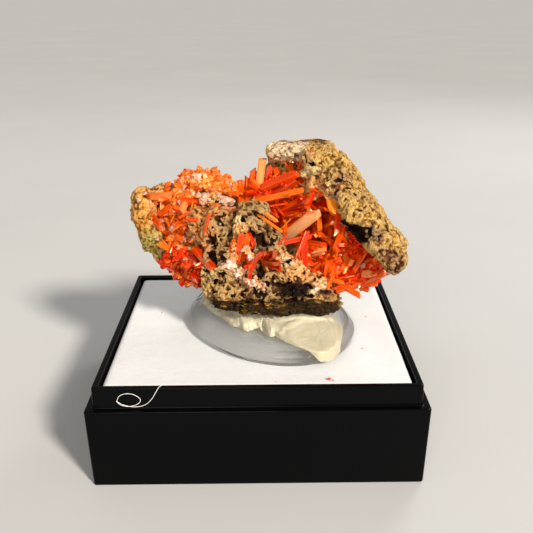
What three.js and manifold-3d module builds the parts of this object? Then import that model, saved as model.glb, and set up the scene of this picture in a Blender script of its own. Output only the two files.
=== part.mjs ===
// Crocoite on matrix: a hollow fragment of iron gossan whose cavities are lined with
// crocoite prisms, pressed into putty on a clear oval stand in the lower half of a
// 57 mm square display box.
// Millimetres, +Z up, +X to the right, +Y to the back. The origin is the middle of the
// box's underside.

import * as THREE from 'three';
import { mergeVertices } from 'three/addons/utils/BufferGeometryUtils.js';
import { ImprovedNoise } from 'three/addons/math/ImprovedNoise.js';
import Module from 'manifold-3d';

const wasm = await Module();
wasm.setup();

// ---- driving dimensions -------------------------------------------------------------

const BOX_WIDTH = 57;             // across the ledge that the lid comes down on
const BOX_FOOT_WIDTH = 55.9;      // across the underside, moulding draft taken off
const LEDGE_HEIGHT = 14.25;
const RIM_WIDTH = 54.5;           // outside of the rim that the lid slips over
const RIM_HEIGHT = 18;
const RIM_WALL = 1;
const FLOOR_THICKNESS = 1.5;

const INSERT_SIDE_GAP = 0.3;
const INSERT_TOP = 17.5;

const OVAL_LENGTH = 40;
const OVAL_WIDTH = 29.6;
const OVAL_THICKNESS = 3;
const OVAL_BEVEL = 1;
const OVAL_CENTRE = [2.4, -0.5];
const OVAL_TURN = THREE.MathUtils.degToRad(24);   // of the short axis, away from +X

const CONTACT_GAP = 0.35;         // left between pieces that fit each other
const BUMPS = [                   // the rock's roughness, coarse and fine
  { height: 0.55, spacing: 2.6, shift: 0 },
  { height: 0.28, spacing: 1.1, shift: 17 },
];
const FACET_STEPS = [2.9, 7.5];   // mean radii from which a lump gets finer facets
const TIP_LENGTH = 0.8;           // a crystal's point, in widths of the crystal
const TIP_SHIFT = 0.35;           // how far the point leans to one side, in widths
const LONGEST_TIP = 0.4;          // share of a short crystal that its point may take

// ---- solids -------------------------------------------------------------------------

const noise = new ImprovedNoise();

function toSolid(geometry) {
  const bare = geometry.clone();
  bare.deleteAttribute('normal');
  bare.deleteAttribute('uv');
  const shared = mergeVertices(bare, 1e-5);
  const vertProperties = new Float32Array(shared.attributes.position.array);
  const triVerts = new Uint32Array(shared.index.array);
  return new wasm.Manifold(new wasm.Mesh({ numProp: 3, vertProperties, triVerts }));
}

function toGeometry(solid) {
  const { vertProperties, triVerts } = solid.getMesh();
  const geometry = new THREE.BufferGeometry();
  geometry.setAttribute('position', new THREE.BufferAttribute(new Float32Array(vertProperties), 3));
  geometry.setIndex(new THREE.BufferAttribute(new Uint32Array(triVerts), 1));
  geometry.computeVertexNormals();
  return geometry;
}

const union = (solids) => solids.reduce((whole, solid) => whole.add(solid));

// The largest connected body, which leaves out chips cut free by a boolean.
function mainBody(solid) {
  const bodies = solid.decompose();
  return bodies.reduce((best, body) => (body.volume() > best.volume() ? body : best));
}

function bumpHeight(point) {
  return BUMPS.reduce((sum, { height, spacing, shift }) => {
    const [x, y, z] = point.toArray().map((v) => v / spacing + shift);
    return sum + height * noise.noise(x, y, z);
  }, 0);
}

// A rough rock lump: an ellipsoid, made blockier by `square` (0 round, 1 a brick), turned
// by `tilt` degrees about Y, with bumps that depend only on where in space they lie.
// `grow` moves its whole surface out, for a clearance.
function lump({ at, size, square = 0.25, tilt = 0 }, grow = 0) {
  const meanRadius = Math.cbrt(size[0] * size[1] * size[2]);
  const detail = FACET_STEPS.filter((step) => meanRadius > step).length;
  const geometry = new THREE.IcosahedronGeometry(1, detail);
  const position = geometry.attributes.position;
  const turn = new THREE.Matrix4().makeRotationY(THREE.MathUtils.degToRad(tilt));
  const direction = new THREE.Vector3();
  const point = new THREE.Vector3();
  for (let i = 0; i < position.count; i++) {
    direction.fromBufferAttribute(position, i).normalize();
    const reach = 1 / Math.max(...direction.toArray().map(Math.abs));
    const stretch = 1 + square * (reach - 1);
    point.copy(direction).multiplyScalar(stretch).multiply(new THREE.Vector3(...size));
    point.applyMatrix4(turn).add(new THREE.Vector3(...at));
    direction.applyMatrix4(turn);
    point.addScaledVector(direction, grow + bumpHeight(point));
    position.setXYZ(i, point.x, point.y, point.z);
  }
  return toSolid(geometry);
}

const lumps = (list, grow = 0) => union(list.map((item) => lump(item, grow)));

// One crocoite prism from `foot` to `tip`: four-sided, flattened, with a slanted point.
function crystal({ foot, tip, width, flat = 0.7, roll = 0 }) {
  const start = new THREE.Vector3(...foot);
  const axis = new THREE.Vector3(...tip).sub(start);
  const length = axis.length();
  const shoulder = length - Math.min(TIP_LENGTH * width, LONGEST_TIP * length);
  const radius = width / Math.SQRT2;
  const profile = [[0, 0], [radius, 0], [radius, shoulder], [0, length]];
  const geometry = new THREE.LatheGeometry(profile.map(([r, y]) => new THREE.Vector2(r, y)), 4);
  geometry.rotateY(Math.PI / 4);
  geometry.scale(1, 1, flat);
  const position = geometry.attributes.position;
  for (let i = 0; i < position.count; i++) {
    if (position.getY(i) === position.getY(position.count - 1)) {
      position.setX(i, position.getX(i) + TIP_SHIFT * width);
    }
  }
  geometry.rotateY(THREE.MathUtils.degToRad(roll));
  const lean = new THREE.Quaternion().setFromUnitVectors(
    new THREE.Vector3(0, 1, 0), axis.clone().normalize());
  geometry.applyQuaternion(lean);
  geometry.translate(...foot);
  return toSolid(geometry);
}

// ---- display box --------------------------------------------------------------------

// A square tray turned in four steps: tapered body, ledge for the lid, rim, pocket.
function boxBase() {
  const corner = Math.SQRT2 / 2;
  const pocketWidth = RIM_WIDTH - 2 * RIM_WALL;
  const profile = [
    [0, 0],
    [BOX_FOOT_WIDTH * corner, 0],
    [BOX_WIDTH * corner, LEDGE_HEIGHT],
    [RIM_WIDTH * corner, LEDGE_HEIGHT],
    [RIM_WIDTH * corner, RIM_HEIGHT],
    [pocketWidth * corner, RIM_HEIGHT],
    [pocketWidth * corner, FLOOR_THICKNESS],
    [0, FLOOR_THICKNESS],
  ];
  const points = profile.map(([r, z]) => new THREE.Vector2(r, z));
  const geometry = new THREE.LatheGeometry(points, 4, Math.PI / 4);
  geometry.rotateX(Math.PI / 2);
  return toSolid(geometry);
}

function foamInsert() {
  const width = RIM_WIDTH - 2 * RIM_WALL - 2 * INSERT_SIDE_GAP;
  const height = INSERT_TOP - FLOOR_THICKNESS;
  const geometry = new THREE.BoxGeometry(width, width, height);
  geometry.translate(0, 0, FLOOR_THICKNESS + height / 2);
  return toSolid(geometry);
}

function clearOval(grow = 0) {
  const outline = new THREE.Shape();
  const inset = OVAL_BEVEL - grow;
  outline.absellipse(0, 0, OVAL_WIDTH / 2 - inset, OVAL_LENGTH / 2 - inset, 0, 2 * Math.PI);
  const geometry = new THREE.ExtrudeGeometry(outline, {
    depth: OVAL_THICKNESS - 2 * OVAL_BEVEL + 2 * grow,
    bevelThickness: OVAL_BEVEL,
    bevelSize: OVAL_BEVEL,
    bevelSegments: 1,
    curveSegments: 16,
  });
  geometry.rotateZ(OVAL_TURN);
  geometry.translate(OVAL_CENTRE[0], OVAL_CENTRE[1], INSERT_TOP + OVAL_BEVEL - grow);
  return toSolid(geometry);
}

// ---- matrix -------------------------------------------------------------------------

// Dark layer that the fragment broke away along, and the core above it.
const BASE_LUMPS = [
  { at: [1, -1, 26.5], size: [11.3, 9.5, 3.4], square: 0.4 },
  { at: [8.6, -3, 26], size: [6, 7.5, 2.8], square: 0.4 },
  { at: [-5.5, -3, 27.4], size: [5, 5.5, 3] },
  { at: [11.4, -8.2, 25.6], size: [3.2, 3.2, 2.2] },
  { at: [-3, 2.5, 33], size: [7, 5.5, 7] },
];

// Spongy brown ridge across the front, with a few pale coated knobs.
const FRONT_LUMPS = [
  { at: [-6.3, -4.5, 31], size: [4, 4, 5] },
  { at: [-7.2, -1.5, 36.6], size: [3.6, 3.6, 5] },
  { at: [-1.2, -4, 36.8], size: [3.4, 3.2, 5] },
  { at: [-0.6, -2.5, 41], size: [3.2, 2.8, 2.2] },
  { at: [1, -6, 28.8], size: [5, 4, 3.4] },
  { at: [2.6, -4.8, 33.6], size: [2.6, 2.8, 3.8] },
  { at: [6, -6, 30], size: [4, 3.6, 3.2] },
  { at: [9, -7, 27.8], size: [4.4, 3.6, 2.8] },
  { at: [-4.8, -7.6, 31.6], size: [1.4, 1.4, 1.7] },
  { at: [-9, 0.6, 42.2], size: [1.8, 1.6, 1.6] },
  { at: [-5, 0.6, 42.2], size: [1.8, 1.5, 1.3] },
];

// Yellow ochre lobe on the left, open towards the front and top.
const LEFT_LUMPS = [
  { at: [-21.6, 4, 40], size: [2.4, 4.5, 4.2] },
  { at: [-20.2, 4, 35.6], size: [2.6, 5, 3.6] },
  { at: [-14.5, 9, 37.5], size: [8, 3.2, 6.5], square: 0.4 },
  { at: [-15.4, 4, 31.4], size: [4.6, 5, 2.6] },
  { at: [-11.3, 2, 30], size: [4.4, 5, 3.6] },
  { at: [-10.9, -1, 38.4], size: [2.5, 2.5, 3.6] },
  { at: [-9.5, 4.5, 35.5], size: [4.6, 4.6, 6.5] },
  { at: [-18.6, 6, 42.2], size: [3, 3, 1.6] },
  { at: [-10.5, 5.5, 42.6], size: [4.2, 3.4, 3] },
  { at: [-5.8, 5, 42.3], size: [3, 3, 2.6] },
];

// Thick ochre roof that runs down to the right, in plates along its slope.
const ROOF_LUMPS = [
  { at: [11.8, 0.5, 49.7], size: [4.4, 5, 2.8], square: 0.35, tilt: 25 },
  { at: [15.2, -0.5, 46.2], size: [5.6, 6, 3.4], square: 0.6, tilt: 52 },
  { at: [18.9, -3, 40.8], size: [5.6, 6.5, 3.4], square: 0.6, tilt: 51 },
  { at: [22.5, -6, 36.5], size: [5, 6, 3], square: 0.6, tilt: 46 },
  { at: [24.6, -9, 33.8], size: [2.4, 4, 2.6], square: 0.3 },
];

// Block at the top, the knobs beside it, and the wall and floor around the hollow.
const BACK_LUMPS = [
  { at: [5.9, 3.5, 50.4], size: [3.7, 3, 1.6], square: 0.7, tilt: -4 },
  { at: [9.4, -0.8, 47.6], size: [1.9, 1.8, 1] },
  { at: [10.2, -1.8, 45], size: [1.9, 1.6, 1.9] },
  { at: [6, 7.5, 45.5], size: [4.6, 3.6, 4.2] },
  { at: [-4.5, 8.5, 35.5], size: [7, 4.5, 7.5] },
  { at: [4, 10.5, 36.5], size: [8, 3.6, 9.5], square: 0.4 },
  { at: [13.5, 9.5, 38], size: [7, 3.8, 10.5], square: 0.4 },
  { at: [20.5, 4.5, 35], size: [4.2, 6, 6.5] },
  { at: [15.5, 4, 29], size: [6.5, 6, 3], square: 0.4 },
  { at: [7, 3, 30], size: [5, 5, 3] },
];

// Open pores in the front.
const PITS = [
  { at: [-8, -8.2, 33.8], size: [1.2, 2, 2.3] },
  { at: [0.4, -9.4, 31.6], size: [1.4, 2.4, 2] },
  { at: [0.8, -7.4, 36.2], size: [1.4, 2, 2.4] },
  { at: [-7.2, -8.4, 29.4], size: [0.8, 1.5, 0.8] },
  { at: [-10.5, -2.6, 34.8], size: [1, 2, 1.2] },
  { at: [17.2, -8.6, 38.6], size: [2.2, 2.4, 1.4] },
];

const rockLumps = [BASE_LUMPS, FRONT_LUMPS, LEFT_LUMPS, ROOF_LUMPS, BACK_LUMPS].flat();

function matrixBody(grow = 0) {
  return mainBody(lumps(rockLumps, grow).subtract(lumps(PITS, -grow)));
}

// ---- crocoite -----------------------------------------------------------------------

const SMALL_PRISM_LENGTH = 4.5;
const SMALL_PRISM_WIDTH = 0.9;
const ROLL_STEP = 37;             // degrees that each crystal is turned from the one before

// A crust of crystals grown together: the bed that lines a hollow, and the prisms on it,
// each a row of foot, tip and width.
const MAIN_HOLLOW = {
  bed: [
    { at: [9, 3, 39], size: [6.4, 2.3, 6.6] },
    { at: [2.6, 2.2, 42.6], size: [3.4, 2, 3] },
    { at: [18, -2.4, 34.4], size: [3.4, 1.8, 4] },
    { at: [13.5, -3.2, 30.4], size: [5, 2.4, 2.2] },
    { at: [19.6, -3.2, 28.6], size: [4, 2.2, 2.4] },
  ],
  prisms: [
    [[4.5, 1, 35.5], [11, -6, 42], 2.1],      // the big pale blade in the middle
    [[0.4, 2.5, 41.5], [1.2, 1.6, 49.7], 1.4],   // upright ones at the left edge
    [[-0.2, 2, 42], [-1.4, 2, 46.1], 1.1],
    [[1, 2, 41.5], [-3, 1.4, 45], 1.1],
    [[1, 1, 42.5], [8.7, -4, 45.2], 1.2],     // long ones across the top
    [[3.4, 1.5, 40], [9.7, -3, 44], 1],
    [[7.7, 2, 41], [13, -4, 45], 1],
    [[10.5, 1.5, 44.5], [14, -4, 40], 1.8],
    [[5, 2, 35.4], [5, -3, 39.4], 0.9],
    [[11.6, 2.5, 36], [13.8, -5, 39.3], 1.1],
    [[17.3, -1.5, 35], [16, -5, 29.2], 1.6],  // right of the middle
    [[21, -2, 34.4], [20.7, -4, 29.5], 1.7],
    [[14, 3, 39], [16.6, -3, 33], 1.6],
    [[14.5, -2, 30.5], [13.4, -5, 36], 1.2],
    [[18.5, -2, 31], [21, -4.5, 34.4], 1.2],
    [[7.5, 2, 34], [12.6, -7, 36], 1.6],      // low, towards the front ridge
    [[10, 2.5, 34], [13.6, -4, 31], 1.3],
    [[13, -2.5, 29.5], [17.5, -6, 31.8], 1.2],
    [[15, -3.4, 28.8], [22.6, -4.6, 26.8], 1.2],   // along the lower edge
    [[17, -3, 28], [25, -5.4, 30.3], 1.3],
    [[20.5, -3, 29.5], [15.6, -4.6, 25.6], 1.3],
    [[22, -2.6, 29.5], [19.5, -4.6, 25.4], 1.2],
    [[18, -2.6, 28.4], [21, -7, 30], 1.3],
    [[7.4, 3, 45], [5.2, -1, 43], 1.1],       // hanging from the top
    [[3.5, 3.5, 45], [4.7, -0.6, 42.6], 1.1],
    [[9, 3, 45], [9.3, -1, 42.6], 1.1],
  ],
};

const LEFT_HOLLOW = {
  bed: [
    { at: [-15.8, 4.8, 37.6], size: [3.6, 2.4, 4.4] },
    { at: [-15, 2.6, 34.4], size: [3, 2, 2.4] },
    { at: [-14, 3.2, 42], size: [3, 2.4, 2.6] },
    { at: [-10.4, 3.6, 45.2], size: [4.2, 3, 2] },
    { at: [-5.8, 3.2, 44.2], size: [2.6, 2.4, 1.6] },
  ],
  prisms: [
    [[-12.5, 3, 43], [-20, 1, 42.5], 1.3],    // long ones bridging the lobe
    [[-18, 4.5, 38], [-14, 0, 42.8], 1.3],
    [[-17, 5, 36.4], [-12.8, -1, 39.4], 1.1],
    [[-16, 4, 35.4], [-18.5, 0, 36.4], 1],
    [[-15.5, 3, 34.4], [-13.6, -1.5, 34], 1.5],
    [[-14.6, 3, 35], [-14.4, -1.5, 38], 1.3],
    [[-12, 4, 45], [-14.4, 2.6, 47], 1.1],    // short ones on the top
    [[-11.1, 4, 45], [-10.6, 3.4, 48], 1.1],
    [[-9.2, 4, 45], [-7.8, 3, 48], 1.1],
    [[-7.7, 4, 44.6], [-5.2, 2.4, 46.4], 1],
    [[-6.2, 3, 44.4], [-2.6, 1, 44], 1.1],
    [[-9.7, 3, 44.6], [-6.6, 0, 45.2], 1],
  ],
};

const LEFT_UNDERSIDE = {
  bed: [
    { at: [-15, -0.8, 31], size: [3.4, 1.8, 2.6] },
    { at: [-11.6, -2.4, 29.4], size: [2.8, 1.8, 3] },
  ],
  prisms: [
    [[-14.5, -0.5, 32], [-13.6, -4, 31], 1.5],
    [[-16, -0.5, 30.5], [-14.8, -3.4, 28.5], 1.3],
    [[-13.6, -1, 30.4], [-12.6, -4.6, 29.2], 1.3],
    [[-12, -2, 29.4], [-10.8, -3.6, 26], 1.2],
    [[-14.4, -1.4, 29.5], [-13, -3, 26.6], 1.2],
    [[-16.6, -0.5, 32], [-18, -1.4, 29.8], 1.2],
    [[-11.5, -2, 32], [-7.8, -8.2, 31.6], 1.5],
  ],
};

const FRONT_PORES = {
  bed: [
    { at: [-0.2, -8, 32.6], size: [2.2, 1.2, 2.4] },
    { at: [-1.8, -7.8, 35], size: [1.2, 1.2, 2] },
  ],
  prisms: [
    [[-1.3, -8, 31.5], [1, -10.2, 35.7], 1.1],
    [[-0.8, -8, 32], [-1.4, -10.2, 27.6], 1.1],
    [[-2.2, -8, 33], [-1.9, -8.4, 38.9], 1.8],
    [[1, -8, 32.3], [4.1, -9.8, 35.4], 1.1],
  ],
};

// Smaller prisms on a crust's bed, spread evenly by the golden angle around its first lump
// and leaning out of the hollow.
function smallPrisms({ bed }, count, length) {
  const golden = Math.PI * (3 - Math.sqrt(5));
  const [{ at, size }] = bed;
  return Array.from({ length: count }, (_, i) => {
    const reach = 0.92 * Math.sqrt((i + 0.5) / count);
    const across = reach * Math.cos(i * golden);
    const up = reach * Math.sin(i * golden);
    const back = -0.7 * Math.sqrt(1 - reach * reach);
    const foot = [across, back, up].map((v, axis) => at[axis] + v * size[axis]);
    const lean = new THREE.Vector3(Math.sin(3 * i), -1.2, Math.cos(5 * i)).setLength(length);
    return [foot, lean.add(new THREE.Vector3(...foot)).toArray(), SMALL_PRISM_WIDTH];
  });
}

function crust(hollow, smallCount, rock) {
  const rows = [...hollow.prisms, ...smallPrisms(hollow, smallCount, SMALL_PRISM_LENGTH)];
  const prisms = rows.map(([foot, tip, width], i) => (
    crystal({ foot, tip, width, roll: ROLL_STEP * i })));
  return mainBody(lumps(hollow.bed).add(union(prisms)).subtract(rock));
}

// ---- putty --------------------------------------------------------------------------

const PUTTY_LUMPS = [
  { at: [1.5, -1.5, 22.4], size: [9.5, 8, 2.8] },
  { at: [-6.6, -1, 23], size: [4.4, 4.8, 3.4] },
  { at: [-1.5, -6, 22.2], size: [4.2, 5, 2.6] },
  { at: [4, -8, 22.2], size: [3.6, 6.4, 2.8] },
  { at: [9.6, -11, 21.4], size: [5.2, 7.6, 3.2] },      // thumbed down over the stand's edge
];

function puttyBody(rock, stand) {
  return mainBody(lumps(PUTTY_LUMPS).subtract(stand).subtract(rock));
}

// ---- assembly -----------------------------------------------------------------------

const part = new THREE.Group();

function addPiece(name, solid, { color, roughness, ...finish }) {
  const material = new THREE.MeshStandardMaterial({ color, roughness, metalness: 0, ...finish });
  const mesh = new THREE.Mesh(toGeometry(solid), material);
  mesh.name = name;
  part.add(mesh);
}

const CLEAR = { color: 0xdfe3e6, roughness: 0.05, transparent: true, opacity: 0.4 };
const PUTTY = { color: 0xf0e8d2, roughness: 0.7 };
const CROCOITE = { color: 0xff4a10, roughness: 0.15, transparent: true, opacity: 0.85 };
const clearance = matrixBody(CONTACT_GAP);

addPiece('box_base', boxBase(), { color: 0x101012, roughness: 0.2 });
addPiece('foam_insert', foamInsert(), { color: 0xe9e6e4, roughness: 0.95 });
addPiece('clear_oval', clearOval(), CLEAR);
addPiece('mounting_putty', puttyBody(clearance, clearOval(CONTACT_GAP)), PUTTY);
addPiece('matrix_rock', matrixBody(), { color: 0xa88a55, roughness: 0.95 });
addPiece('crocoite_main_hollow', crust(MAIN_HOLLOW, 9, clearance), CROCOITE);
addPiece('crocoite_left_hollow', crust(LEFT_HOLLOW, 4, clearance), CROCOITE);
addPiece('crocoite_left_underside', crust(LEFT_UNDERSIDE, 0, clearance), CROCOITE);
addPiece('crocoite_front_pores', crust(FRONT_PORES, 0, clearance), CROCOITE);

export default part;
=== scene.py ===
"""Crocoite on matrix in the lower half of its display box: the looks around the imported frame.

Lengths in this script are millimetres unless a name ends in _M. Meshes are written in metres.
"""

import math
from concurrent.futures import ThreadPoolExecutor

import bmesh
import bpy
import numpy as np
import openvdb
from mathutils import Matrix, Vector
from mathutils.bvhtree import BVHTree


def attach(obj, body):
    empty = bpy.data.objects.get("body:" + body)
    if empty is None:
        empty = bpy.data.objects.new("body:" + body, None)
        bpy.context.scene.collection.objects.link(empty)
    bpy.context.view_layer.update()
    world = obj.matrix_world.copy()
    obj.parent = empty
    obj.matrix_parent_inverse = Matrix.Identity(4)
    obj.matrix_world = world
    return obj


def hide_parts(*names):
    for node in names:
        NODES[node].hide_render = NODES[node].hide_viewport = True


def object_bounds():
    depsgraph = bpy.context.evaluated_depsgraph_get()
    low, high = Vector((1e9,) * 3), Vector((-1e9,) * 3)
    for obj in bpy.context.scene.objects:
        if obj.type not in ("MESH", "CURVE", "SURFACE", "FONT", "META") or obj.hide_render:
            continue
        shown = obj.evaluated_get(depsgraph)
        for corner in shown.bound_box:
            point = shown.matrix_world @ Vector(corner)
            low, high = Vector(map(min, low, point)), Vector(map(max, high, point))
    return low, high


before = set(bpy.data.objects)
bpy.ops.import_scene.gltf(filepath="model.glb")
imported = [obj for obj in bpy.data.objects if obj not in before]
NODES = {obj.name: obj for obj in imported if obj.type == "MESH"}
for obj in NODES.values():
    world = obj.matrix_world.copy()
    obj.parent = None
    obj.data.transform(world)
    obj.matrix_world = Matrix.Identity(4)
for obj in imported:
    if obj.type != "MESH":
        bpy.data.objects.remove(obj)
CAD_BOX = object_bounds()

MM = 0.001
TAU = 2 * math.pi

# ---- sizes that the pieces share ------------------------------------------------------

BOX_WIDTH = 57
BOX_FOOT_WIDTH = 55.9
LEDGE_HEIGHT = 14.25
RIM_WIDTH = 54.5
RIM_HEIGHT = 18
RIM_WALL = 1
FLOOR_THICKNESS = 1.5
BOX_CORNER = 0.5
BOX_FILLET = 0.22
END_INSET = 1.5                  # how far in from its edge a flat end's own ring starts

INSERT_GAP = 0.3
INSERT_TOP = 17.5
INSERT_EDGE = 0.7
INSERT_VOXEL = 0.5
INSERT_BAND = 1.5
INSERT_SHRUNK = 0.03             # so that its dents stay inside the frame's block

OVAL_LENGTH = 40
OVAL_WIDTH = 29.6
OVAL_THICKNESS = 3
OVAL_BEVEL = 1
OVAL_CENTRE = (2.4, -0.5)
OVAL_TURN = math.radians(24)
OVAL_TOP = INSERT_TOP + OVAL_THICKNESS
OVAL_SUNK = 0.1                  # into the soft insert
OVAL_FILLET = 0.2

ROCK_VOXEL = 0.2
ROCK_TRIANGLES = 190000          # at most, in each of the rock's pieces
BAND = 2.4                       # how far from a surface its distance field is kept
LEAST_PART = 700                 # vertices, of a part that isn't a loose chip
LEAST_HEAP = 90                  # and for the beds and the coated knobs

# ---- noise ----------------------------------------------------------------------------

def scramble(cells, seed):
    """A whole number in 0..2^32 for each lattice cell, from its three whole coordinates."""
    x, y, z = (cells[..., i].astype(np.uint32) for i in range(3))
    n = x * np.uint32(73856093) ^ y * np.uint32(19349663) ^ z * np.uint32(83492791)
    n ^= np.uint32((seed * 2654435761) % 2 ** 32)
    n = (n ^ (n >> np.uint32(15))) * np.uint32(2246822519)
    n = (n ^ (n >> np.uint32(13))) * np.uint32(3266489917)
    return n ^ (n >> np.uint32(16))


def unit(whole):
    return whole.astype(np.float32) / np.float32(2 ** 32)


def smooth_noise(points, seed=0):
    """Gradient noise, about -1 to 1, at each row of points."""
    cell = np.floor(points)
    inside = (points - cell).astype(np.float32)
    cell = cell.astype(np.int64)
    fade = inside * inside * inside * (inside * (inside * 6 - 15) + 10)
    total = np.zeros(len(points), np.float32)
    for corner in np.ndindex(2, 2, 2):
        code = scramble(cell + corner, seed)
        away = inside - np.array(corner, np.float32)
        dot = sum(
            away[:, i] * (((code >> np.uint32(10 * i)) & np.uint32(1023)) / 511.5 - 1)
            for i in range(3))
        weight = np.prod(np.where(corner, fade, 1 - fade), axis=1)
        total += (dot * weight).astype(np.float32)
    return 1.4 * total


def rough_noise(points, spacing, octaves=3, seed=0):
    """Smooth noise of several finer and weaker octaves. Spacing is the coarsest one's."""
    total, height, reach = 0, 1.0, 0.0
    for octave in range(octaves):
        total = total + height * smooth_noise(points / spacing, seed + octave)
        reach += height
        height *= 0.5
        spacing *= 0.5
    return total / reach


def cell_distances(points, spacing, seed=0):
    """Distances to the nearest and second nearest of scattered seeds, and the nearest's
    own random number from 0 to 1."""
    scaled = (points / spacing).astype(np.float32)
    cell = np.floor(scaled).astype(np.int32)
    first = np.full(len(points), 9.0, np.float32)
    second = first.copy()
    pick = np.zeros(len(points), np.float32)
    for step in np.ndindex(3, 3, 3):
        near = cell + np.array(step, np.int32) - 1
        code = scramble(near, seed)
        gap = np.zeros(len(points), np.float32)
        for i in range(3):
            spot = ((code >> np.uint32(10 * i)) & np.uint32(1023)).astype(np.float32) / 1023
            gap += (scaled[:, i] - near[:, i] - spot) ** 2
        gap = np.sqrt(gap)
        closer = gap < first
        second = np.where(closer, first, np.minimum(second, gap))
        first = np.where(closer, gap, first)
        pick = np.where(closer, unit(code * np.uint32(2654435761)), pick)
    return first * spacing, second * spacing, pick


def in_parts(work, *arrays):
    """Runs work on the arrays' rows in parts, side by side, and joins what comes back."""
    count = max(1, len(arrays[0]) // 30000)
    parts = zip(*(np.array_split(array, count) for array in arrays))
    with ThreadPoolExecutor(4) as pool:
        return np.concatenate(list(pool.map(lambda part: work(*part), parts)))


# ---- meshes ---------------------------------------------------------------------------

def mesh_object(name, vertices, faces, smooth=True):
    """A new object from vertices in millimetres and faces as rows of vertex numbers."""
    mesh = bpy.data.meshes.new(name)
    vertices = np.asarray(vertices, np.float32) * MM
    if isinstance(faces, np.ndarray):
        mesh.vertices.add(len(vertices))
        mesh.vertices.foreach_set("co", vertices.ravel())
        mesh.loops.add(faces.size)
        mesh.loops.foreach_set("vertex_index", faces.astype(np.int32).ravel())
        mesh.polygons.add(len(faces))
        mesh.polygons.foreach_set("loop_start", np.arange(0, faces.size, faces.shape[1]))
        mesh.update(calc_edges=True)
    else:
        mesh.from_pydata(vertices.tolist(), [], [list(map(int, face)) for face in faces])
    mesh.validate()
    mesh.update()
    mesh.polygons.foreach_set("use_smooth", [smooth] * len(mesh.polygons))
    piece = bpy.data.objects.new(name, mesh)
    bpy.context.scene.collection.objects.link(piece)
    return piece


def finish_piece(piece, material, replaced=()):
    """Gives a piece its material and its body, and hides the frame nodes that it stands for."""
    piece.data.materials.clear()
    piece.data.materials.append(material)
    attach(piece, "root")
    if replaced:
        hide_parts(*replaced)
    return piece


def positions(mesh):
    flat = np.empty(3 * len(mesh.vertices), np.float32)
    mesh.vertices.foreach_get("co", flat)
    return flat.reshape(-1, 3) / MM


def triangles(mesh):
    mesh.calc_loop_triangles()
    flat = np.empty(3 * len(mesh.loop_triangles), np.int32)
    mesh.loop_triangles.foreach_get("vertices", flat)
    return flat.reshape(-1, 3)


def set_mask(piece, name, values):
    """Keeps one number for each vertex, for the piece's material to read."""
    layer = piece.data.attributes.new(name, "FLOAT", "POINT")
    layer.data.foreach_set("value", np.ascontiguousarray(values, np.float32))


def evaluated(piece):
    """The piece's mesh with its modifiers applied, which are then taken off."""
    graph = bpy.context.evaluated_depsgraph_get()
    mesh = bpy.data.meshes.new_from_object(piece.evaluated_get(graph))
    piece.modifiers.clear()
    old = piece.data
    piece.data = mesh
    bpy.data.meshes.remove(old)
    return piece


def keep_in_frame(piece):
    """Presses whatever reaches past the frame's box back to it."""
    low, high = (np.array(corner) for corner in CAD_BOX)
    points = np.clip(positions(piece.data) * MM, low, high)
    piece.data.vertices.foreach_set("co", points.astype(np.float32).ravel())
    piece.data.update()


def main_parts(vertices, faces, least):
    """A mesh's large connected parts, without loose chips and small closed bubbles."""
    edges = np.concatenate([faces[:, [i, (i + 1) % faces.shape[1]]]
                            for i in range(faces.shape[1])])
    label = np.arange(len(vertices))
    while True:
        low = np.minimum(label[edges[:, 0]], label[edges[:, 1]])
        new = label.copy()
        np.minimum.at(new, edges[:, 0], low)
        np.minimum.at(new, edges[:, 1], low)
        new = new[new]
        if np.array_equal(new, label):
            break
        label = new
    keep = np.bincount(label, minlength=len(label))[label] >= least
    number = np.cumsum(keep) - 1
    return vertices[keep], number[faces[keep[faces[:, 0]]]]


# ---- distance fields ------------------------------------------------------------------

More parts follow.
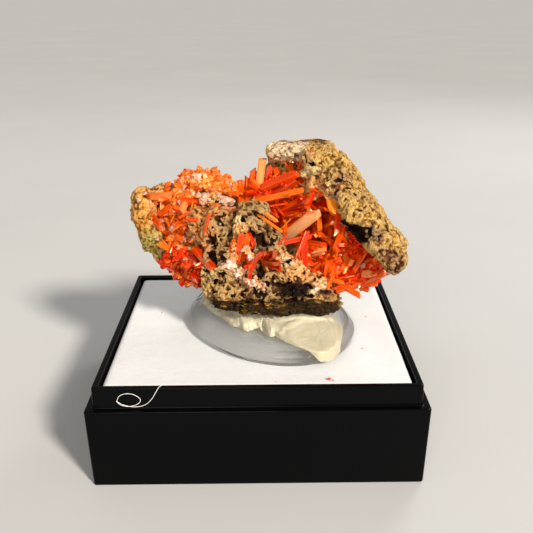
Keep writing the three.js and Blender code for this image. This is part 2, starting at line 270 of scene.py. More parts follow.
class Field:
    """Signed distances on a grid, below zero inside: what rough shapes are carved from."""

    def __init__(self, low, high, voxel, band=BAND):
        self.voxel = voxel
        self.first = np.floor((np.asarray(low) - band) / voxel).astype(int)
        last = np.ceil((np.asarray(high) + band) / voxel).astype(int)
        self.values = np.full(last - self.first + 1, band, np.float32)
        self.band = band

    @classmethod
    def of_mesh(cls, piece, voxel, band=BAND):
        points = positions(piece.data)
        field = cls(points.min(0), points.max(0), voxel, band)
        grid = openvdb.FloatGrid.createLevelSetFromPolygons(
            points.astype(np.float32), triangles=triangles(piece.data).astype(np.uint32),
            transform=openvdb.createLinearTransform(voxelSize=voxel), halfWidth=band / voxel)
        grid.copyToArray(field.values, ijk=tuple(int(i) for i in field.first))
        return field

    def between(self, low, high):
        """The grid cells whose distance is from low to high, and their places."""
        where = np.nonzero((self.values > low) & (self.values < high))
        return where, (np.stack(where, -1) + self.first).astype(np.float32) * self.voxel

    def everywhere(self):
        return self.between(-math.inf, math.inf)

    def window(self, at, reach):
        """The part of the grid within reach of a place, and its cells' places."""
        low = np.floor((np.asarray(at) - reach) / self.voxel).astype(int) - self.first
        high = np.ceil((np.asarray(at) + reach) / self.voxel).astype(int) + 1 - self.first
        low, high = np.maximum(low, 0), np.minimum(high, self.values.shape)
        cells = np.stack(np.meshgrid(*(np.arange(a, b) for a, b in zip(low, high)),
                                     indexing="ij"), -1)
        points = ((cells + self.first) * self.voxel).reshape(-1, 3).astype(np.float32)
        return tuple(slice(a, b) for a, b in zip(low, high)), points

    def join(self, at, size, soft):
        """Adds an ellipsoid, with the join eased over soft millimetres."""
        part, points = self.window(at, np.asarray(size) + self.band)
        lump = ellipsoid(points, at, size)
        block = self.values[part]
        joined = blend_min(block.ravel(), lump, soft).reshape(block.shape)
        self.values[part] = np.clip(joined, -self.band, self.band).astype(np.float32)

    def copy(self):
        twin = Field((0, 0, 0), (0, 0, 0), self.voxel, self.band)
        twin.first, twin.values = self.first, self.values.copy()
        return twin

    def blur(self, passes):
        for _ in range(passes):
            for axis in range(3):
                v = self.values
                shifted = np.roll(v, 1, axis) + np.roll(v, -1, axis)
                self.values = (0.5 * v + 0.25 * shifted).astype(np.float32)

    def sample(self, points):
        """The distance at each point, between the grid's cells."""
        place = points / self.voxel - self.first
        cell = np.clip(np.floor(place).astype(int), 0, np.array(self.values.shape) - 2)
        part = place - cell
        total = 0
        for corner in np.ndindex(2, 2, 2):
            weight = np.prod(np.where(corner, part, 1 - part), axis=1)
            total = total + weight * self.values[tuple((cell + corner).T)]
        return total

    def surface(self, least=LEAST_PART):
        """The surface as vertices and outward faces, without parts of fewer vertices."""
        grid = openvdb.FloatGrid(float(self.band))
        grid.transform = openvdb.createLinearTransform(voxelSize=self.voxel)
        grid.copyFromArray(self.values, ijk=tuple(int(i) for i in self.first))
        vertices, quads = grid.convertToQuads(isovalue=0.0)
        quads = quads.astype(np.int64)
        vertices, quads = main_parts(vertices, quads, least)
        a, b, c = (vertices[quads[:, i]] for i in range(3))
        if np.einsum("ij,ij->i", a, np.cross(b - a, c - a)).sum() < 0:
            quads = quads[:, ::-1]
        return vertices, quads


def ellipsoid(points, at, size, turn=0.0):
    """About how far each point is outside an ellipsoid, turned by degrees about Y."""
    away = points - np.asarray(at, np.float32)
    if turn:
        c, s = math.cos(math.radians(turn)), math.sin(math.radians(turn))
        away = np.stack([c * away[:, 0] - s * away[:, 2], away[:, 1],
                         s * away[:, 0] + c * away[:, 2]], -1)
    share = away / np.asarray(size, np.float32)
    level = np.sqrt((share ** 2).sum(1)) + 1e-6
    slope = np.sqrt(((share / size) ** 2).sum(1)) + 1e-6
    return level * (level - 1) / slope


def rod(points, start, end, radius):
    """How far each point is outside a round-ended rod."""
    start, end = np.asarray(start, np.float32), np.asarray(end, np.float32)
    along = np.clip((points - start) @ (end - start) / ((end - start) @ (end - start)), 0, 1)
    return np.linalg.norm(points - start - along[:, None] * (end - start), axis=1) - radius


def blend_min(a, b, soft):
    """The nearer of two distances, rounded where they meet."""
    share = np.clip(0.5 + 0.5 * (b - a) / soft, 0, 1)
    return b + (a - b) * share - soft * share * (1 - share)


def falloff(points, at, size, turn=0.0, soft=1.0):
    """1 inside an ellipsoid, easing to 0 over soft millimetres outside it."""
    return np.clip(1 - ellipsoid(points, at, size, turn) / soft, 0, 1)


# ---- materials ------------------------------------------------------------------------

class Graph:
    """One material's nodes, with short names for the ones that these materials use."""

    def __init__(self, name):
        self.material = bpy.data.materials.new(name)
        self.material.use_nodes = True
        self.tree = self.material.node_tree
        self.shader = self.tree.nodes["Principled BSDF"]
        self.output = self.tree.nodes["Material Output"]
        place = self.add("TexCoord").outputs["Object"]
        self.mm = self.add("VectorMath", {0: place, "Scale": 1000.0}, operation="SCALE").outputs[0]

    def add(self, kind, inputs=None, **settings):
        node = self.tree.nodes.new("ShaderNode" + kind)
        for key, value in settings.items():
            setattr(node, key, value)
        for key, value in (inputs or {}).items():
            self.feed(node.inputs[key], value)
        return node

    def feed(self, socket, value):
        if isinstance(value, bpy.types.NodeSocket):
            self.tree.links.new(value, socket)
        else:
            socket.default_value = value

    def set(self, **inputs):
        for key, value in inputs.items():
            self.feed(self.shader.inputs[key.replace("_", " ")], value)

    def stretched(self, x, y, z):
        return self.add("Mapping", {0: self.mm, "Scale": (x, y, z)}).outputs[0]

    def noise(self, scale, detail=4.0, rough=0.55, at=None, warp=0.0):
        return self.add("TexNoise", {
            "Vector": at or self.mm, "Scale": scale, "Detail": detail,
            "Roughness": rough, "Distortion": warp}).outputs["Fac"]

    def cells(self, scale):
        return self.add("TexVoronoi", {"Vector": self.mm, "Scale": scale}).outputs["Distance"]

    def ramp(self, value, *stops):
        """Colours, or greys, along value. Each stop is (place, grey or red, green, blue)."""
        node = self.add("ValToRGB", {0: value})
        points = node.color_ramp.elements
        while len(points) < len(stops):
            points.new(1.0)
        for point, (place, *tone) in zip(points, stops):
            point.position = place
            point.color = (*(tone * 3 if len(tone) == 1 else tone), 1)
        return node.outputs[0]

    def mix(self, share, a, b):
        """From colour a to colour b. The node's colours are sockets 6 and 7, and output 2."""
        node = self.add("Mix", data_type="RGBA")
        self.feed(node.inputs["Factor"], share)
        for socket, value in ((node.inputs[6], a), (node.inputs[7], b)):
            self.feed(socket, (*value, 1) if isinstance(value, tuple) else value)
        return node.outputs[2]

    def math(self, kind, a, b):
        return self.add("Math", {0: a, 1: b}, operation=kind).outputs[0]

    def plus(self, a, b):
        return self.math("ADD", a, b)

    def times(self, a, b):
        return self.math("MULTIPLY", a, b)

    def less(self, share):
        """What is left of 1 once share is taken away."""
        return self.math("SUBTRACT", 1.0, share)

    def mask(self, name):
        return self.add("Attribute", attribute_name=name).outputs["Fac"]

    def bump(self, height, depth):
        """Relief from height, 0 to 1, that is depth millimetres deep."""
        return self.add("Bump", {"Height": height, "Distance": depth * MM}).outputs[0]

    def absorb(self, colour, density):
        """Light that goes through the piece takes on the colour in its depth."""
        depth = self.add("VolumeAbsorption", {"Color": (*colour, 1), "Density": density})
        self.feed(self.output.inputs["Volume"], depth.outputs[0])


def gloss_plastic():
    """Injection-moulded black plastic with dust, faint scratches and greasy patches."""
    g = Graph("black_plastic")
    smear = g.noise(0.12, 3)
    scratch = g.noise(1.4, 6, 0.7, g.stretched(0.15, 6, 6))
    dust = g.ramp(g.noise(3.2, 5, 0.75), (0.68, 0.0), (0.78, 1.0))
    g.set(Base_Color=g.mix(g.times(dust, 0.12), (0.0015, 0.0015, 0.0018), (0.2, 0.19, 0.18)),
          Specular_IOR_Level=0.05,
          Roughness=g.plus(g.times(smear, 0.16), g.times(dust, 0.25)),
          Normal=g.bump(scratch, 0.006),
          IOR=1.55)
    return g.material


def white_foam():
    """Fine white foam: soft cells, a few dents, and the slight yellow of age."""
    g = Graph("white_foam")
    cells = g.cells(1.7)
    broad = g.noise(0.09, 4)
    tone = g.ramp(broad, (0.3, 0.75, 0.77, 0.78), (0.7, 0.81, 0.83, 0.85))
    g.set(Base_Color=g.mix(g.ramp(cells, (0.0, 0.0), (0.5, 0.12)), tone, (0.55, 0.5, 0.47)),
          Roughness=0.85,
          Subsurface_Weight=0.15,
          Subsurface_Radius=(1.0, 0.8, 0.7),
          Subsurface_Scale=0.002,
          Normal=g.bump(g.plus(g.times(cells, 0.5), g.noise(0.6, 6)), 0.05))
    return g.material


def clear_acrylic():
    """Cast acrylic: clear, with a faint smoky grey in its depth and polishing marks."""
    g = Graph("clear_acrylic")
    marks = g.noise(0.8, 5, 0.7, g.stretched(1, 5, 1))
    g.set(Base_Color=(0.97, 0.975, 0.985, 1),
          Roughness=g.times(marks, 0.03),
          Transmission_Weight=1.0,
          IOR=1.49)
    g.absorb((0.82, 0.765, 0.72), 25.0)
    return g.material


def putty():
    """Museum putty: waxy cream, kneaded streaks, finger texture."""
    g = Graph("mounting_putty")
    streak = g.noise(0.35, 6, 0.6, g.stretched(1.6, 0.5, 1.2), 1.2)
    tone = g.ramp(streak, (0.25, 0.46, 0.39, 0.25), (0.5, 0.53, 0.48, 0.34),
                  (0.8, 0.59, 0.55, 0.41))
    grime = g.ramp(g.noise(1.1, 8, 0.7), (0.62, 0.0), (0.8, 0.35))
    g.set(Base_Color=g.mix(grime, tone, (0.42, 0.34, 0.22)),
          Roughness=g.ramp(g.noise(0.7, 4), (0.3, 0.38), (0.7, 0.6)),
          Subsurface_Weight=0.25,
          Subsurface_Radius=(1.0, 0.8, 0.5),
          Subsurface_Scale=0.0015,
          Normal=g.bump(g.plus(g.noise(1.8, 7, 0.6), g.times(streak, 0.6)), 0.10))
    return g.material


def pale_floor():
    g = Graph("floor")
    g.set(Base_Color=g.ramp(g.noise(0.01, 3), (0.3, 0.54, 0.535, 0.53), (0.7, 0.57, 0.565, 0.56)),
          Roughness=0.6,
          Normal=g.bump(g.noise(2.0, 4), 0.02))
    return g.material


# Two tones of each kind of gossan, for its hollows and its crests. The order is the order
# in which they are laid over each other.
ROCK_TONES = {
    "amber": ((0.36, 0.10, 0.005), (0.82, 0.34, 0.022)),
    "tan": ((0.09, 0.034, 0.008), (0.60, 0.315, 0.086)),
    "brown": ((0.028, 0.009, 0.003), (0.33, 0.118, 0.024)),
    "russet": ((0.09, 0.018, 0.003), (0.62, 0.17, 0.022)),
    "orange": ((0.36, 0.065, 0.007), (0.86, 0.42, 0.13)),
    "olive": ((0.09, 0.052, 0.004), (0.42, 0.29, 0.028)),
    "rust": ((0.035, 0.006, 0.003), (0.21, 0.04, 0.014)),
    "pale": ((0.40, 0.23, 0.12), (0.86, 0.67, 0.47)),
    "cream": ((0.50, 0.28, 0.07), (0.95, 0.76, 0.38)),
    # The near-black tone: the dark layer's own colour, and painted shade under the roof's lower
    # edge.
    "dark_and_shade": ((0.002, 0.0015, 0.001), (0.013, 0.007, 0.004)),
}
# The masks that the rock keeps: painted shade in pits and crevices, a painted highlight on crests,
# pale streaks, the hidden back, and each kind of gossan.
ROCK_MASKS = ["pit_shade", "crevice_shade", "crest_highlight", "streaked", "rear", *ROCK_TONES]

# Broad patches on the rock's hidden back: shift of their noise, share, and two tones.
REAR_PATCHES = [
    (0.0, 0.85, (0.07, 0.022, 0.006), (0.34, 0.15, 0.04)),
    (40.0, 0.7, (0.30, 0.08, 0.008), (0.72, 0.30, 0.06)),
    (80.0, 0.7, (0.30, 0.17, 0.06), (0.78, 0.58, 0.30)),
]


def gossan():
    """Porous gossan: granular ochre, and the other kinds by the masks that the mesh keeps, with
    painted shade in pits and crevices and a painted highlight on crests.
    """
    g = Graph("gossan")
    grain = g.noise(1.9, 9, 0.7)
    broad = g.noise(0.24, 5, 0.6)
    fine = g.noise(6.0, 6, 0.7)
    tone = g.plus(g.times(grain, 0.6), g.times(fine, 0.4))
    tone = g.ramp(tone, (0.42, 0.0), (0.57, 1.0))
    ochre = g.mix(tone, (0.24, 0.095, 0.010), (0.72, 0.405, 0.078))
    umber = g.mix(tone, (0.09, 0.035, 0.009), (0.42, 0.22, 0.055))
    cream = g.mix(tone, (0.36, 0.19, 0.035), (0.80, 0.53, 0.16))
    colour = g.mix(g.ramp(broad, (0.34, 1.0), (0.52, 0.0)), ochre, umber)
    colour = g.mix(g.ramp(broad, (0.54, 0.0), (0.68, 0.8)), colour, cream)
    stain = g.ramp(g.noise(0.55, 6, 0.65), (0.57, 0.0), (0.66, 0.8))
    colour = g.mix(stain, colour, g.mix(tone, (0.08, 0.016, 0.008), (0.36, 0.11, 0.04)))
    for shift, share, low, high in REAR_PATCHES:
        moved = g.add("Mapping", {0: g.mm, "Location": (shift, 0, shift)}).outputs[0]
        patch = g.ramp(g.noise(0.13, 6, 0.62, moved, 0.6), (0.49, 0.0), (0.55, share))
        colour = g.mix(g.times(patch, g.mask("rear")), colour, g.mix(tone, low, high))
    for kind, (low, high) in ROCK_TONES.items():
        colour = g.mix(g.mask(kind), colour, g.mix(tone, low, high))
    streak = g.ramp(g.noise(0.5, 6, 0.7, g.stretched(0.6, 0.6, 3)), (0.56, 0.0), (0.62, 0.95))
    streak = g.times(streak, g.mask("streaked"))
    colour = g.mix(streak, colour, (0.58, 0.27, 0.025))
    speck = g.ramp(g.noise(2.6, 5, 0.75, warp=0.4), (0.38, 0.85), (0.46, 0.0))
    speck = g.times(speck, g.less(g.times(g.mask("pale"), 0.7)))
    even = g.times(g.mask("rear"), g.ramp(g.noise(0.3, 4), (0.42, 0.9), (0.54, 0.0)))
    speck = g.times(speck, g.less(even))
    colour = g.mix(speck, colour, (0.05, 0.018, 0.006))
    # Painted highlight: crests lightened toward pale ochre.
    colour = g.mix(g.times(g.mask("crest_highlight"), 0.45), colour,
                   g.mix(0.6, colour, (0.98, 0.74, 0.34)))
    # Painted shade: crevices, found where the blurred relief bulges over the surface, darkened.
    shade = g.times(g.mask("crevice_shade"), 0.85)
    colour = g.mix(shade, colour, g.mix(broad, (0.03, 0.010, 0.004), (0.12, 0.045, 0.012)))
    # Painted shade: near black in the pits, darker the deeper they go.
    colour = g.mix(g.mask("pit_shade"), colour, g.mix(broad, (0.008, 0.003, 0.002), (0.05, 0.015, 0.006)))
    relief = g.plus(g.times(g.cells(3.4), 0.8), g.noise(2.6, 9, 0.72))
    g.set(Base_Color=colour,
          Roughness=g.ramp(fine, (0.3, 0.62), (0.7, 0.95)),
          Normal=g.bump(g.plus(relief, g.times(g.cells(8.0), 0.35)), 0.26),
          Specular_IOR_Level=0.12)
    return g.material


def crocoite(name="crocoite"):
    """Orange-red crystal: clear in its depth, clouded inside, striped along its length, with a
    painted highlight of brighter orange along its edges and tips.
    """
    g = Graph(name)
    grain = g.add("Attribute", attribute_name="grain").outputs["Vector"]
    fixed = g.add("Mapping", {0: grain, "Scale": (5.0, 0.35, 1.0)}).outputs[0]
    stripe = g.noise(1.3, 4, 0.6, fixed)
    cloud = g.noise(0.7, 5, 0.6, g.add("Mapping", {0: grain, "Scale": (1.5, 0.6, 1)}).outputs[0])
    value = g.plus(g.times(g.mask("pale"), 0.8), g.times(cloud, 0.3))
    colour = g.ramp(value, (0.0, 0.22, 0.002, 0.0), (0.14, 0.90, 0.008, 0.0),
                    (0.32, 1.0, 0.035, 0.001), (0.52, 1.0, 0.12, 0.003),
                    (0.74, 1.0, 0.27, 0.018), (0.98, 1.0, 0.50, 0.22))
    # Painted highlight: bevelled edges and tips tinted bright orange.
    edge = g.times(g.math("POWER", g.mask("edge"), 3.0), 0.55)
    colour = g.mix(edge, colour, g.mix(0.3, (1.0, 0.17, 0.008), colour))
    g.set(Base_Color=colour,
          Roughness=g.ramp(stripe, (0.3, 0.03), (0.7, 0.11)),
          Transmission_Weight=g.ramp(g.mask("pale"), (0.1, 0.46), (0.9, 0.14)),
          IOR=2.2,
          Specular_IOR_Level=0.4,
          Specular_Tint=(1.0, 0.56, 0.30, 1),
          Subsurface_Weight=0.25,
          Subsurface_Radius=(1.0, 0.16, 0.02),
          Subsurface_Scale=0.0015,
          Normal=g.bump(stripe, 0.016))
    g.absorb((1.0, 0.25, 0.03), 250.0)
    return g.material


# The beds' tones, from their hollows to their crests: the crystal's own red and orange, darkest in
# the hollows of their relief as painted shade between the crystals.
RED_BED = ((0.14, 0.008, 0.002), (0.66, 0.014, 0.001), (0.98, 0.060, 0.003))
ORANGE_BED = ((0.26, 0.05, 0.006), (0.92, 0.15, 0.008), (1.0, 0.42, 0.10))


def crystal_bed(name, tones, dusty):
    """What the crystals stand on: intergrown feet, with as much pale dust as dusty says."""
    g = Graph(name)
    tone = g.noise(1.6, 7, 0.65)
    # Painted shade: the tones follow the same noise as the relief, darkest in its hollows.
    colour = g.ramp(tone, *((place, *shade) for place, shade in zip((0.38, 0.50, 0.64), tones)))
    dust = g.ramp(g.noise(1.1, 7, 0.7), (0.58, 0.0), (0.68, dusty))
    g.set(Base_Color=g.mix(dust, colour, (0.78, 0.50, 0.34)),
          Roughness=g.ramp(g.noise(3.0, 4), (0.3, 0.25), (0.7, 0.6)),
          Specular_Tint=(1.0, 0.42, 0.16, 1),
          Normal=g.bump(g.plus(g.cells(2.6), tone), 0.22))
    return g.material


def pale_coating():
    """Drusy white to pink coating on the knobs, with orange crystal showing through."""
    g = Graph("pale_coating")
    sparkle = g.cells(5.0)
    broad = g.noise(0.8, 6, 0.62)
    white = g.ramp(broad, (0.34, 0.30, 0.11, 0.06), (0.45, 0.62, 0.33, 0.21),
                   (0.56, 0.80, 0.57, 0.43), (0.68, 0.90, 0.80, 0.70))
    orange = g.ramp(g.noise(1.8, 6, 0.65), (0.38, 0.62, 0.045, 0.004), (0.50, 0.96, 0.22, 0.016),
                    (0.64, 1.0, 0.52, 0.13))
    bare = g.plus(g.ramp(g.noise(0.9, 6, 0.6), (0.40, 0.0), (0.62, 1.0)),
                  g.times(g.mask("bare"), 1.6))
    bare = g.ramp(g.times(bare, 0.5), (0.38, 0.0), (0.55, 1.0))
    grime = g.ramp(g.noise(1.3, 8, 0.7), (0.56, 0.0), (0.66, 0.85))
    colour = g.mix(grime, g.mix(bare, white, orange), (0.09, 0.045, 0.022))
    g.set(Base_Color=colour,
          Roughness=g.ramp(sparkle, (0.1, 0.25), (0.5, 0.65)),
          Subsurface_Weight=0.2,
          Subsurface_Radius=(1.0, 0.45, 0.3),
          Subsurface_Scale=0.0008,
          Normal=g.bump(g.plus(sparkle, g.noise(3.2, 7, 0.65)), 0.2))
    return g.material


def lint_fibre():
    g = Graph("lint")
    g.set(Base_Color=g.ramp(g.noise(2.0, 3), (0.3, 0.62, 0.6, 0.57), (0.7, 0.82, 0.8, 0.78)),
          Roughness=0.8)
    return g.material


# ---- display box ----------------------------------------------------------------------

def filleted(profile, radius, steps=4):
    """A profile's points with each corner rounded. Its two ends stay."""
    points = [Vector(p) for p in profile]
    out = [points[0]]
    for before, corner, after in zip(points, points[1:], points[2:]):
        into, away = (before - corner), (after - corner)
        cut = min(radius, 0.45 * into.length, 0.45 * away.length)
        a, b = corner + into.normalized() * cut, corner + away.normalized() * cut
        for i in range(steps + 1):
            t = i / steps
            out.append(a * (1 - t) ** 2 + corner * 2 * t * (1 - t) + b * t ** 2)
    return out + [points[-1]]


def square_ring(half, z, corner, steps=5):
    """A square ring of points with rounded corners."""
    corner = min(corner, half)
    ring = []
    for quarter in range(4):
        middle = TAU * (quarter + 0.5) / 4
        cx, cy = (math.copysign(half - corner, math.cos(middle)),
                  math.copysign(half - corner, math.sin(middle)))
        for i in range(steps + 1):
            angle = TAU * (quarter + i / steps) / 4
            ring.append((cx + corner * math.cos(angle), cy + corner * math.sin(angle), z))
    return ring


def skin(rings):
    """Vertices and faces of a closed solid whose rings have the same number of points."""
    count = len(rings[0])
    faces = []
    for row in range(len(rings) - 1):
        for i in range(count):
            j = (i + 1) % count
            faces.append((row * count + i, row * count + j,
                          (row + 1) * count + j, (row + 1) * count + i))
    top = (len(rings) - 1) * count
    faces.append(tuple(range(count))[::-1])
    faces.append(tuple(range(top, top + count)))
    return [point for ring in rings for point in ring], faces


def smooth_by_angle(piece, degrees=35):
    """Smooth shading with the flat ends and corners kept crisp."""
    piece.data.shade_smooth()
    piece.data.set_sharp_from_angle(angle=math.radians(degrees))


def box_base():
    pocket = RIM_WIDTH / 2 - RIM_WALL
    profile = [
        (BOX_FOOT_WIDTH / 2 - END_INSET, 0),
        (BOX_FOOT_WIDTH / 2, 0),
        (BOX_WIDTH / 2, LEDGE_HEIGHT),
        (RIM_WIDTH / 2, LEDGE_HEIGHT),
        (RIM_WIDTH / 2, RIM_HEIGHT),
        (pocket, RIM_HEIGHT),
        (pocket, FLOOR_THICKNESS),
        (pocket - END_INSET, FLOOR_THICKNESS),
    ]
    rings = [square_ring(half, z, BOX_CORNER) for half, z in filleted(profile, BOX_FILLET)]
    piece = mesh_object("display_box_base", *skin(rings))
    smooth_by_angle(piece)
    return finish_piece(piece, gloss_plastic(), ["box_base"])


def foam_insert():
    half = RIM_WIDTH / 2 - RIM_WALL - INSERT_GAP
    middle = (INSERT_TOP + FLOOR_THICKNESS) / 2
    tall = (INSERT_TOP - FLOOR_THICKNESS) / 2
    field = Field((-half, -half, FLOOR_THICKNESS), (half, half, INSERT_TOP),
                  INSERT_VOXEL, INSERT_BAND)
    where, points = field.everywhere()
    core = (half - INSERT_EDGE, half - INSERT_EDGE, tall - INSERT_EDGE)
    away = np.abs(points - (0, 0, middle)) - core
    block = np.linalg.norm(np.maximum(away, 0), axis=1) + np.minimum(away.max(1), 0) - INSERT_EDGE
    dents = 0.05 * rough_noise(points, 9, 3, 5) + 0.03 * rough_noise(points, 1.6, 2, 6)
    field.values[where] = np.clip(block + INSERT_SHRUNK + dents, -INSERT_BAND, INSERT_BAND)
    piece = mesh_object("white_foam_insert", *field.surface())
    return finish_piece(piece, white_foam(), ["foam_insert"])


def oval_ring(inset, z, count=180):
    """An oval ring, in from the stand's outline by inset."""
    ring = []
    for i in range(count):
        angle = TAU * i / count
        x = (OVAL_WIDTH / 2 - inset) * math.cos(angle)
        y = (OVAL_LENGTH / 2 - inset) * math.sin(angle)
        c, s = math.cos(OVAL_TURN), math.sin(OVAL_TURN)
        ring.append((OVAL_CENTRE[0] + c * x - s * y, OVAL_CENTRE[1] + s * x + c * y, z))
    return ring


def clear_oval():
    profile = [
        (OVAL_BEVEL + END_INSET, INSERT_TOP - OVAL_SUNK),
        (OVAL_BEVEL, INSERT_TOP - OVAL_SUNK),
        (0, INSERT_TOP + OVAL_BEVEL),
        (0, OVAL_TOP - OVAL_BEVEL),
        (OVAL_BEVEL, OVAL_TOP),
        (OVAL_BEVEL + END_INSET, OVAL_TOP),
    ]
    rings = [oval_ring(inset, z) for inset, z in filleted(profile, OVAL_FILLET)]
    piece = mesh_object("clear_oval_stand", *skin(rings))
    smooth_by_angle(piece, 20)
    return finish_piece(piece, clear_acrylic(), ["clear_oval"])


# ---- matrix ---------------------------------------------------------------------------

# Places where the rock is of another kind: kind, place, size, turn about Y, soft edge.
ROCK_ZONES = [
    ("brown", (-6, -5, 36), (4.5, 4, 6.5), 0, 2.0),
    ("russet", (-11, -1.5, 39.5), (2.8, 3, 3.8), 0, 1.5),
    ("russet", (-6.0, -2.0, 41.0), (2.6, 2, 0.9), 0, 0.8),
    ("russet", (-8.6, -4.5, 36.6), (1.4, 3, 2.6), 0, 1.0),
    ("brown", (0, -5, 37), (4, 4, 6), 0, 2.0),
    ("brown", (4, -8, 29), (8, 4, 3.4), 0, 1.5),
    ("tan", (-7.4, -7.5, 29.4), (3.6, 3, 4), 0, 1.5),
    ("tan", (-6.6, -4.8, 39.4), (2.0, 2, 1.5), 0, 1.0),
    ("tan", (-0.6, -4.6, 40.2), (3.6, 2.6, 1.5), 8, 0.9),
    ("tan", (3.4, -6, 35.4), (1.6, 3, 4.6), -32, 1.0),
    ("tan", (2.6, -9.5, 29.6), (3.4, 2, 1.6), 0, 1.0),
    ("tan", (9.2, 2, 46.4), (3.0, 5, 3.0), 0, 1.5),
    ("orange", (7.6, -7.4, 31.8), (3.2, 3, 4.4), -52, 1.4),
    ("orange", (12, -8.5, 28.4), (3, 3, 1.8), 20, 1.0),
    ("orange", (-3.2, -6.8, 36.2), (1.7, 2, 4.6), 0, 1.0),
    ("orange", (11.5, -2.5, 46.2), (1.3, 3, 4.5), -25, 1.0),
    ("orange", (6.4, 0.2, 49.2), (3.6, 2.4, 0.9), 0, 0.7),
    ("orange", (-17.6, 3, 42), (2.0, 4, 3.4), 0, 1.4),
    ("orange", (-18.4, 1, 36.6), (1.6, 3, 2.4), 0, 1.2),
    ("amber", (-20.6, 0, 40), (3.0, 6, 5.0), 0, 1.6),
    ("olive", (-19.6, -0.2, 33.9), (2.6, 3, 2.4), 0, 1.6),
    ("rust", (25.2, -12, 32.0), (2.4, 3, 1.6), 0, 0.9),
    ("rust", (14.4, -6.3, 47.4), (0.8, 1.4, 1.0), 0, 0.6),
    ("rust", (15.5, -6.1, 47.9), (0.7, 1.2, 0.6), 0, 0.5),
    ("rust", (14.2, -6.2, 45.0), (0.7, 1.4, 1.2), 0, 0.6),
    ("rust", (-15, -1, 30), (4, 3, 2.6), 0, 1.5),
    ("pale", (5.8, 1.5, 51.6), (4.4, 4, 1.9), 0, 0.7),
    ("cream", (9.4, -3, 48.6), (2.2, 2.2, 0.9), -15, 0.5),
    ("cream", (7.8, -1.2, 46.8), (0.7, 1.5, 1.3), 0, 0.4),
    ("russet", (9.8, -2.6, 45.8), (1.6, 2, 1.7), 0, 0.6),
    ("orange", (11.4, -3.2, 44.6), (1.2, 2, 2.0), -15, 0.6),
    ("cream", (1.4, 1.5, 51.0), (1.2, 2, 0.8), 0, 0.6),
    ("cream", (-3.2, -4.6, 40.0), (0.9, 1.6, 0.7), 0, 0.5),
    ("cream", (-8.4, -7.6, 31.0), (1.0, 1.2, 0.7), 0, 0.5),
    ("rust", (10.1, -3.5, 50.0), (0.9, 1.4, 0.8), 0, 0.4),
    ("orange", (9.9, -2.4, 51.6), (0.5, 1.6, 1.0), 10, 0.4),
    ("pale", (11.0, -10.0, 28.7), (1.2, 1.2, 0.9), 0, 0.6),
    ("pale", (5.4, -8.0, 33.6), (1.0, 1.4, 1.6), -40, 0.6),
    ("rust", (-12, 10, 31), (3.4, 8, 2.0), 20, 1.6),
    ("cream", (9, 12, 43), (3.0, 8, 1.6), -30, 1.4),
    ("amber", (-3, 12, 38), (4.4, 8, 2.4), 15, 2.0),
    ("dark_and_shade", (2, 12, 27.5), (9, 8, 1.6), -4, 1.2),
    ("dark_and_shade", (15, 10, 35.5), (2.2, 8, 1.2), 30, 1.0),
    ("dark_and_shade", (6.4, -10.4, 28.4), (2.6, 1.8, 1.3), 0, 0.9),
    # Painted shade: near black under the roof's lower edge, around its pits.
    ("dark_and_shade", (17.6, -6.8, 38.6), (2.8, 3.4, 1.9), 38, 0.7),
    ("rust", (20.8, -10.0, 38.6), (1.7, 2.4, 1.0), 30, 0.7),
    ("rust", (23.8, -11.6, 35.0), (2.4, 2.0, 0.9), 38, 0.7),
    ("dark_and_shade", (13, -10.6, 27.6), (1.8, 1.6, 0.5), 0, 0.6),
]
BAND_TOP = 26.9                  # of the dark layer that the fragment broke away along

# What fills the frame's facets out to the rock's own outline: place and size.
ROCK_SWELLS = [
    ((6.0, 1.6, 51.4), (3.9, 3.0, 1.4)),
    ((10.6, 3.6, 51.2), (3.6, 3.0, 1.7)),
    ((3.8, -8.1, 25.4), (10.4, 3.0, 2.1)),
    ((11.2, -8.4, 25.3), (4.2, 2.8, 2.0)),
    ((-5.0, -7.2, 26.6), (3.6, 2.8, 2.3)),
]

# Pores deep enough to read as holes from the front: place, size, turn.
ROCK_PITS = [
    ((0.9, -6.6, 36.6), (1.4, 2.4, 1.9), 0),
    ((-0.8, -7.4, 37.0), (1.3, 1.9, 2.6), 0),
    ((0.4, -9.2, 31.4), (1.3, 2.6, 1.7), 0),
    ((-8.0, -7.4, 33.6), (1.0, 2.4, 2.0), -20),
    ((-11.0, -2.0, 34.8), (0.8, 2.0, 1.0), 0),
    ((-7.2, -8.6, 30.0), (0.7, 1.3, 0.5), 0),
    ((-6.4, -8.4, 29.8), (0.3, 1.0, 0.3), 0),
    ((-2.3, -5.2, 39.9), (0.75, 1.4, 0.45), 0),
    ((-0.6, -5.2, 39.6), (0.4, 1.2, 0.35), 0),
    ((-5.7, -6.4, 37.3), (0.7, 1.4, 0.8), 20),
    ((-7.4, -5.4, 36.6), (0.45, 1.4, 0.9), 0),
    ((1.9, -9.4, 29.3), (0.5, 1.0, 0.4), 0),
    ((0.0, -9.4, 28.5), (0.9, 1.2, 0.4), 0),
    ((4.2, -9.6, 29.8), (0.45, 1.0, 0.4), 0),
    ((3.0, -6.2, 36.2), (0.6, 1.4, 1.1), -30),
    ((14.3, -6.6, 47.3), (0.8, 1.0, 0.5), 0),
    ((15.5, -6.6, 47.9), (0.45, 0.9, 0.35), 0),
    ((14.2, -6.6, 45.1), (0.45, 1.0, 0.9), 35),
    ((20.2, -9.6, 38.8), (0.55, 1.3, 0.4), 30),
    ((21.3, -11.0, 38.2), (0.5, 1.1, 0.45), -20),
    ((20.9, -10.6, 39.4), (0.3, 1.0, 0.3), 0),
    ((22.6, -11.4, 36.6), (0.45, 1.1, 0.3), 30),
    ((16.4, -6.8, 40.6), (0.6, 1.6, 0.4), 40),
    ((17.4, -7.2, 38.9), (1.5, 2.2, 0.8), 38),
    ((19.0, -8.4, 37.4), (0.9, 2.0, 0.6), 38),
    ((10.1, -4.0, 50.0), (0.7, 1.0, 0.5), 0),
]

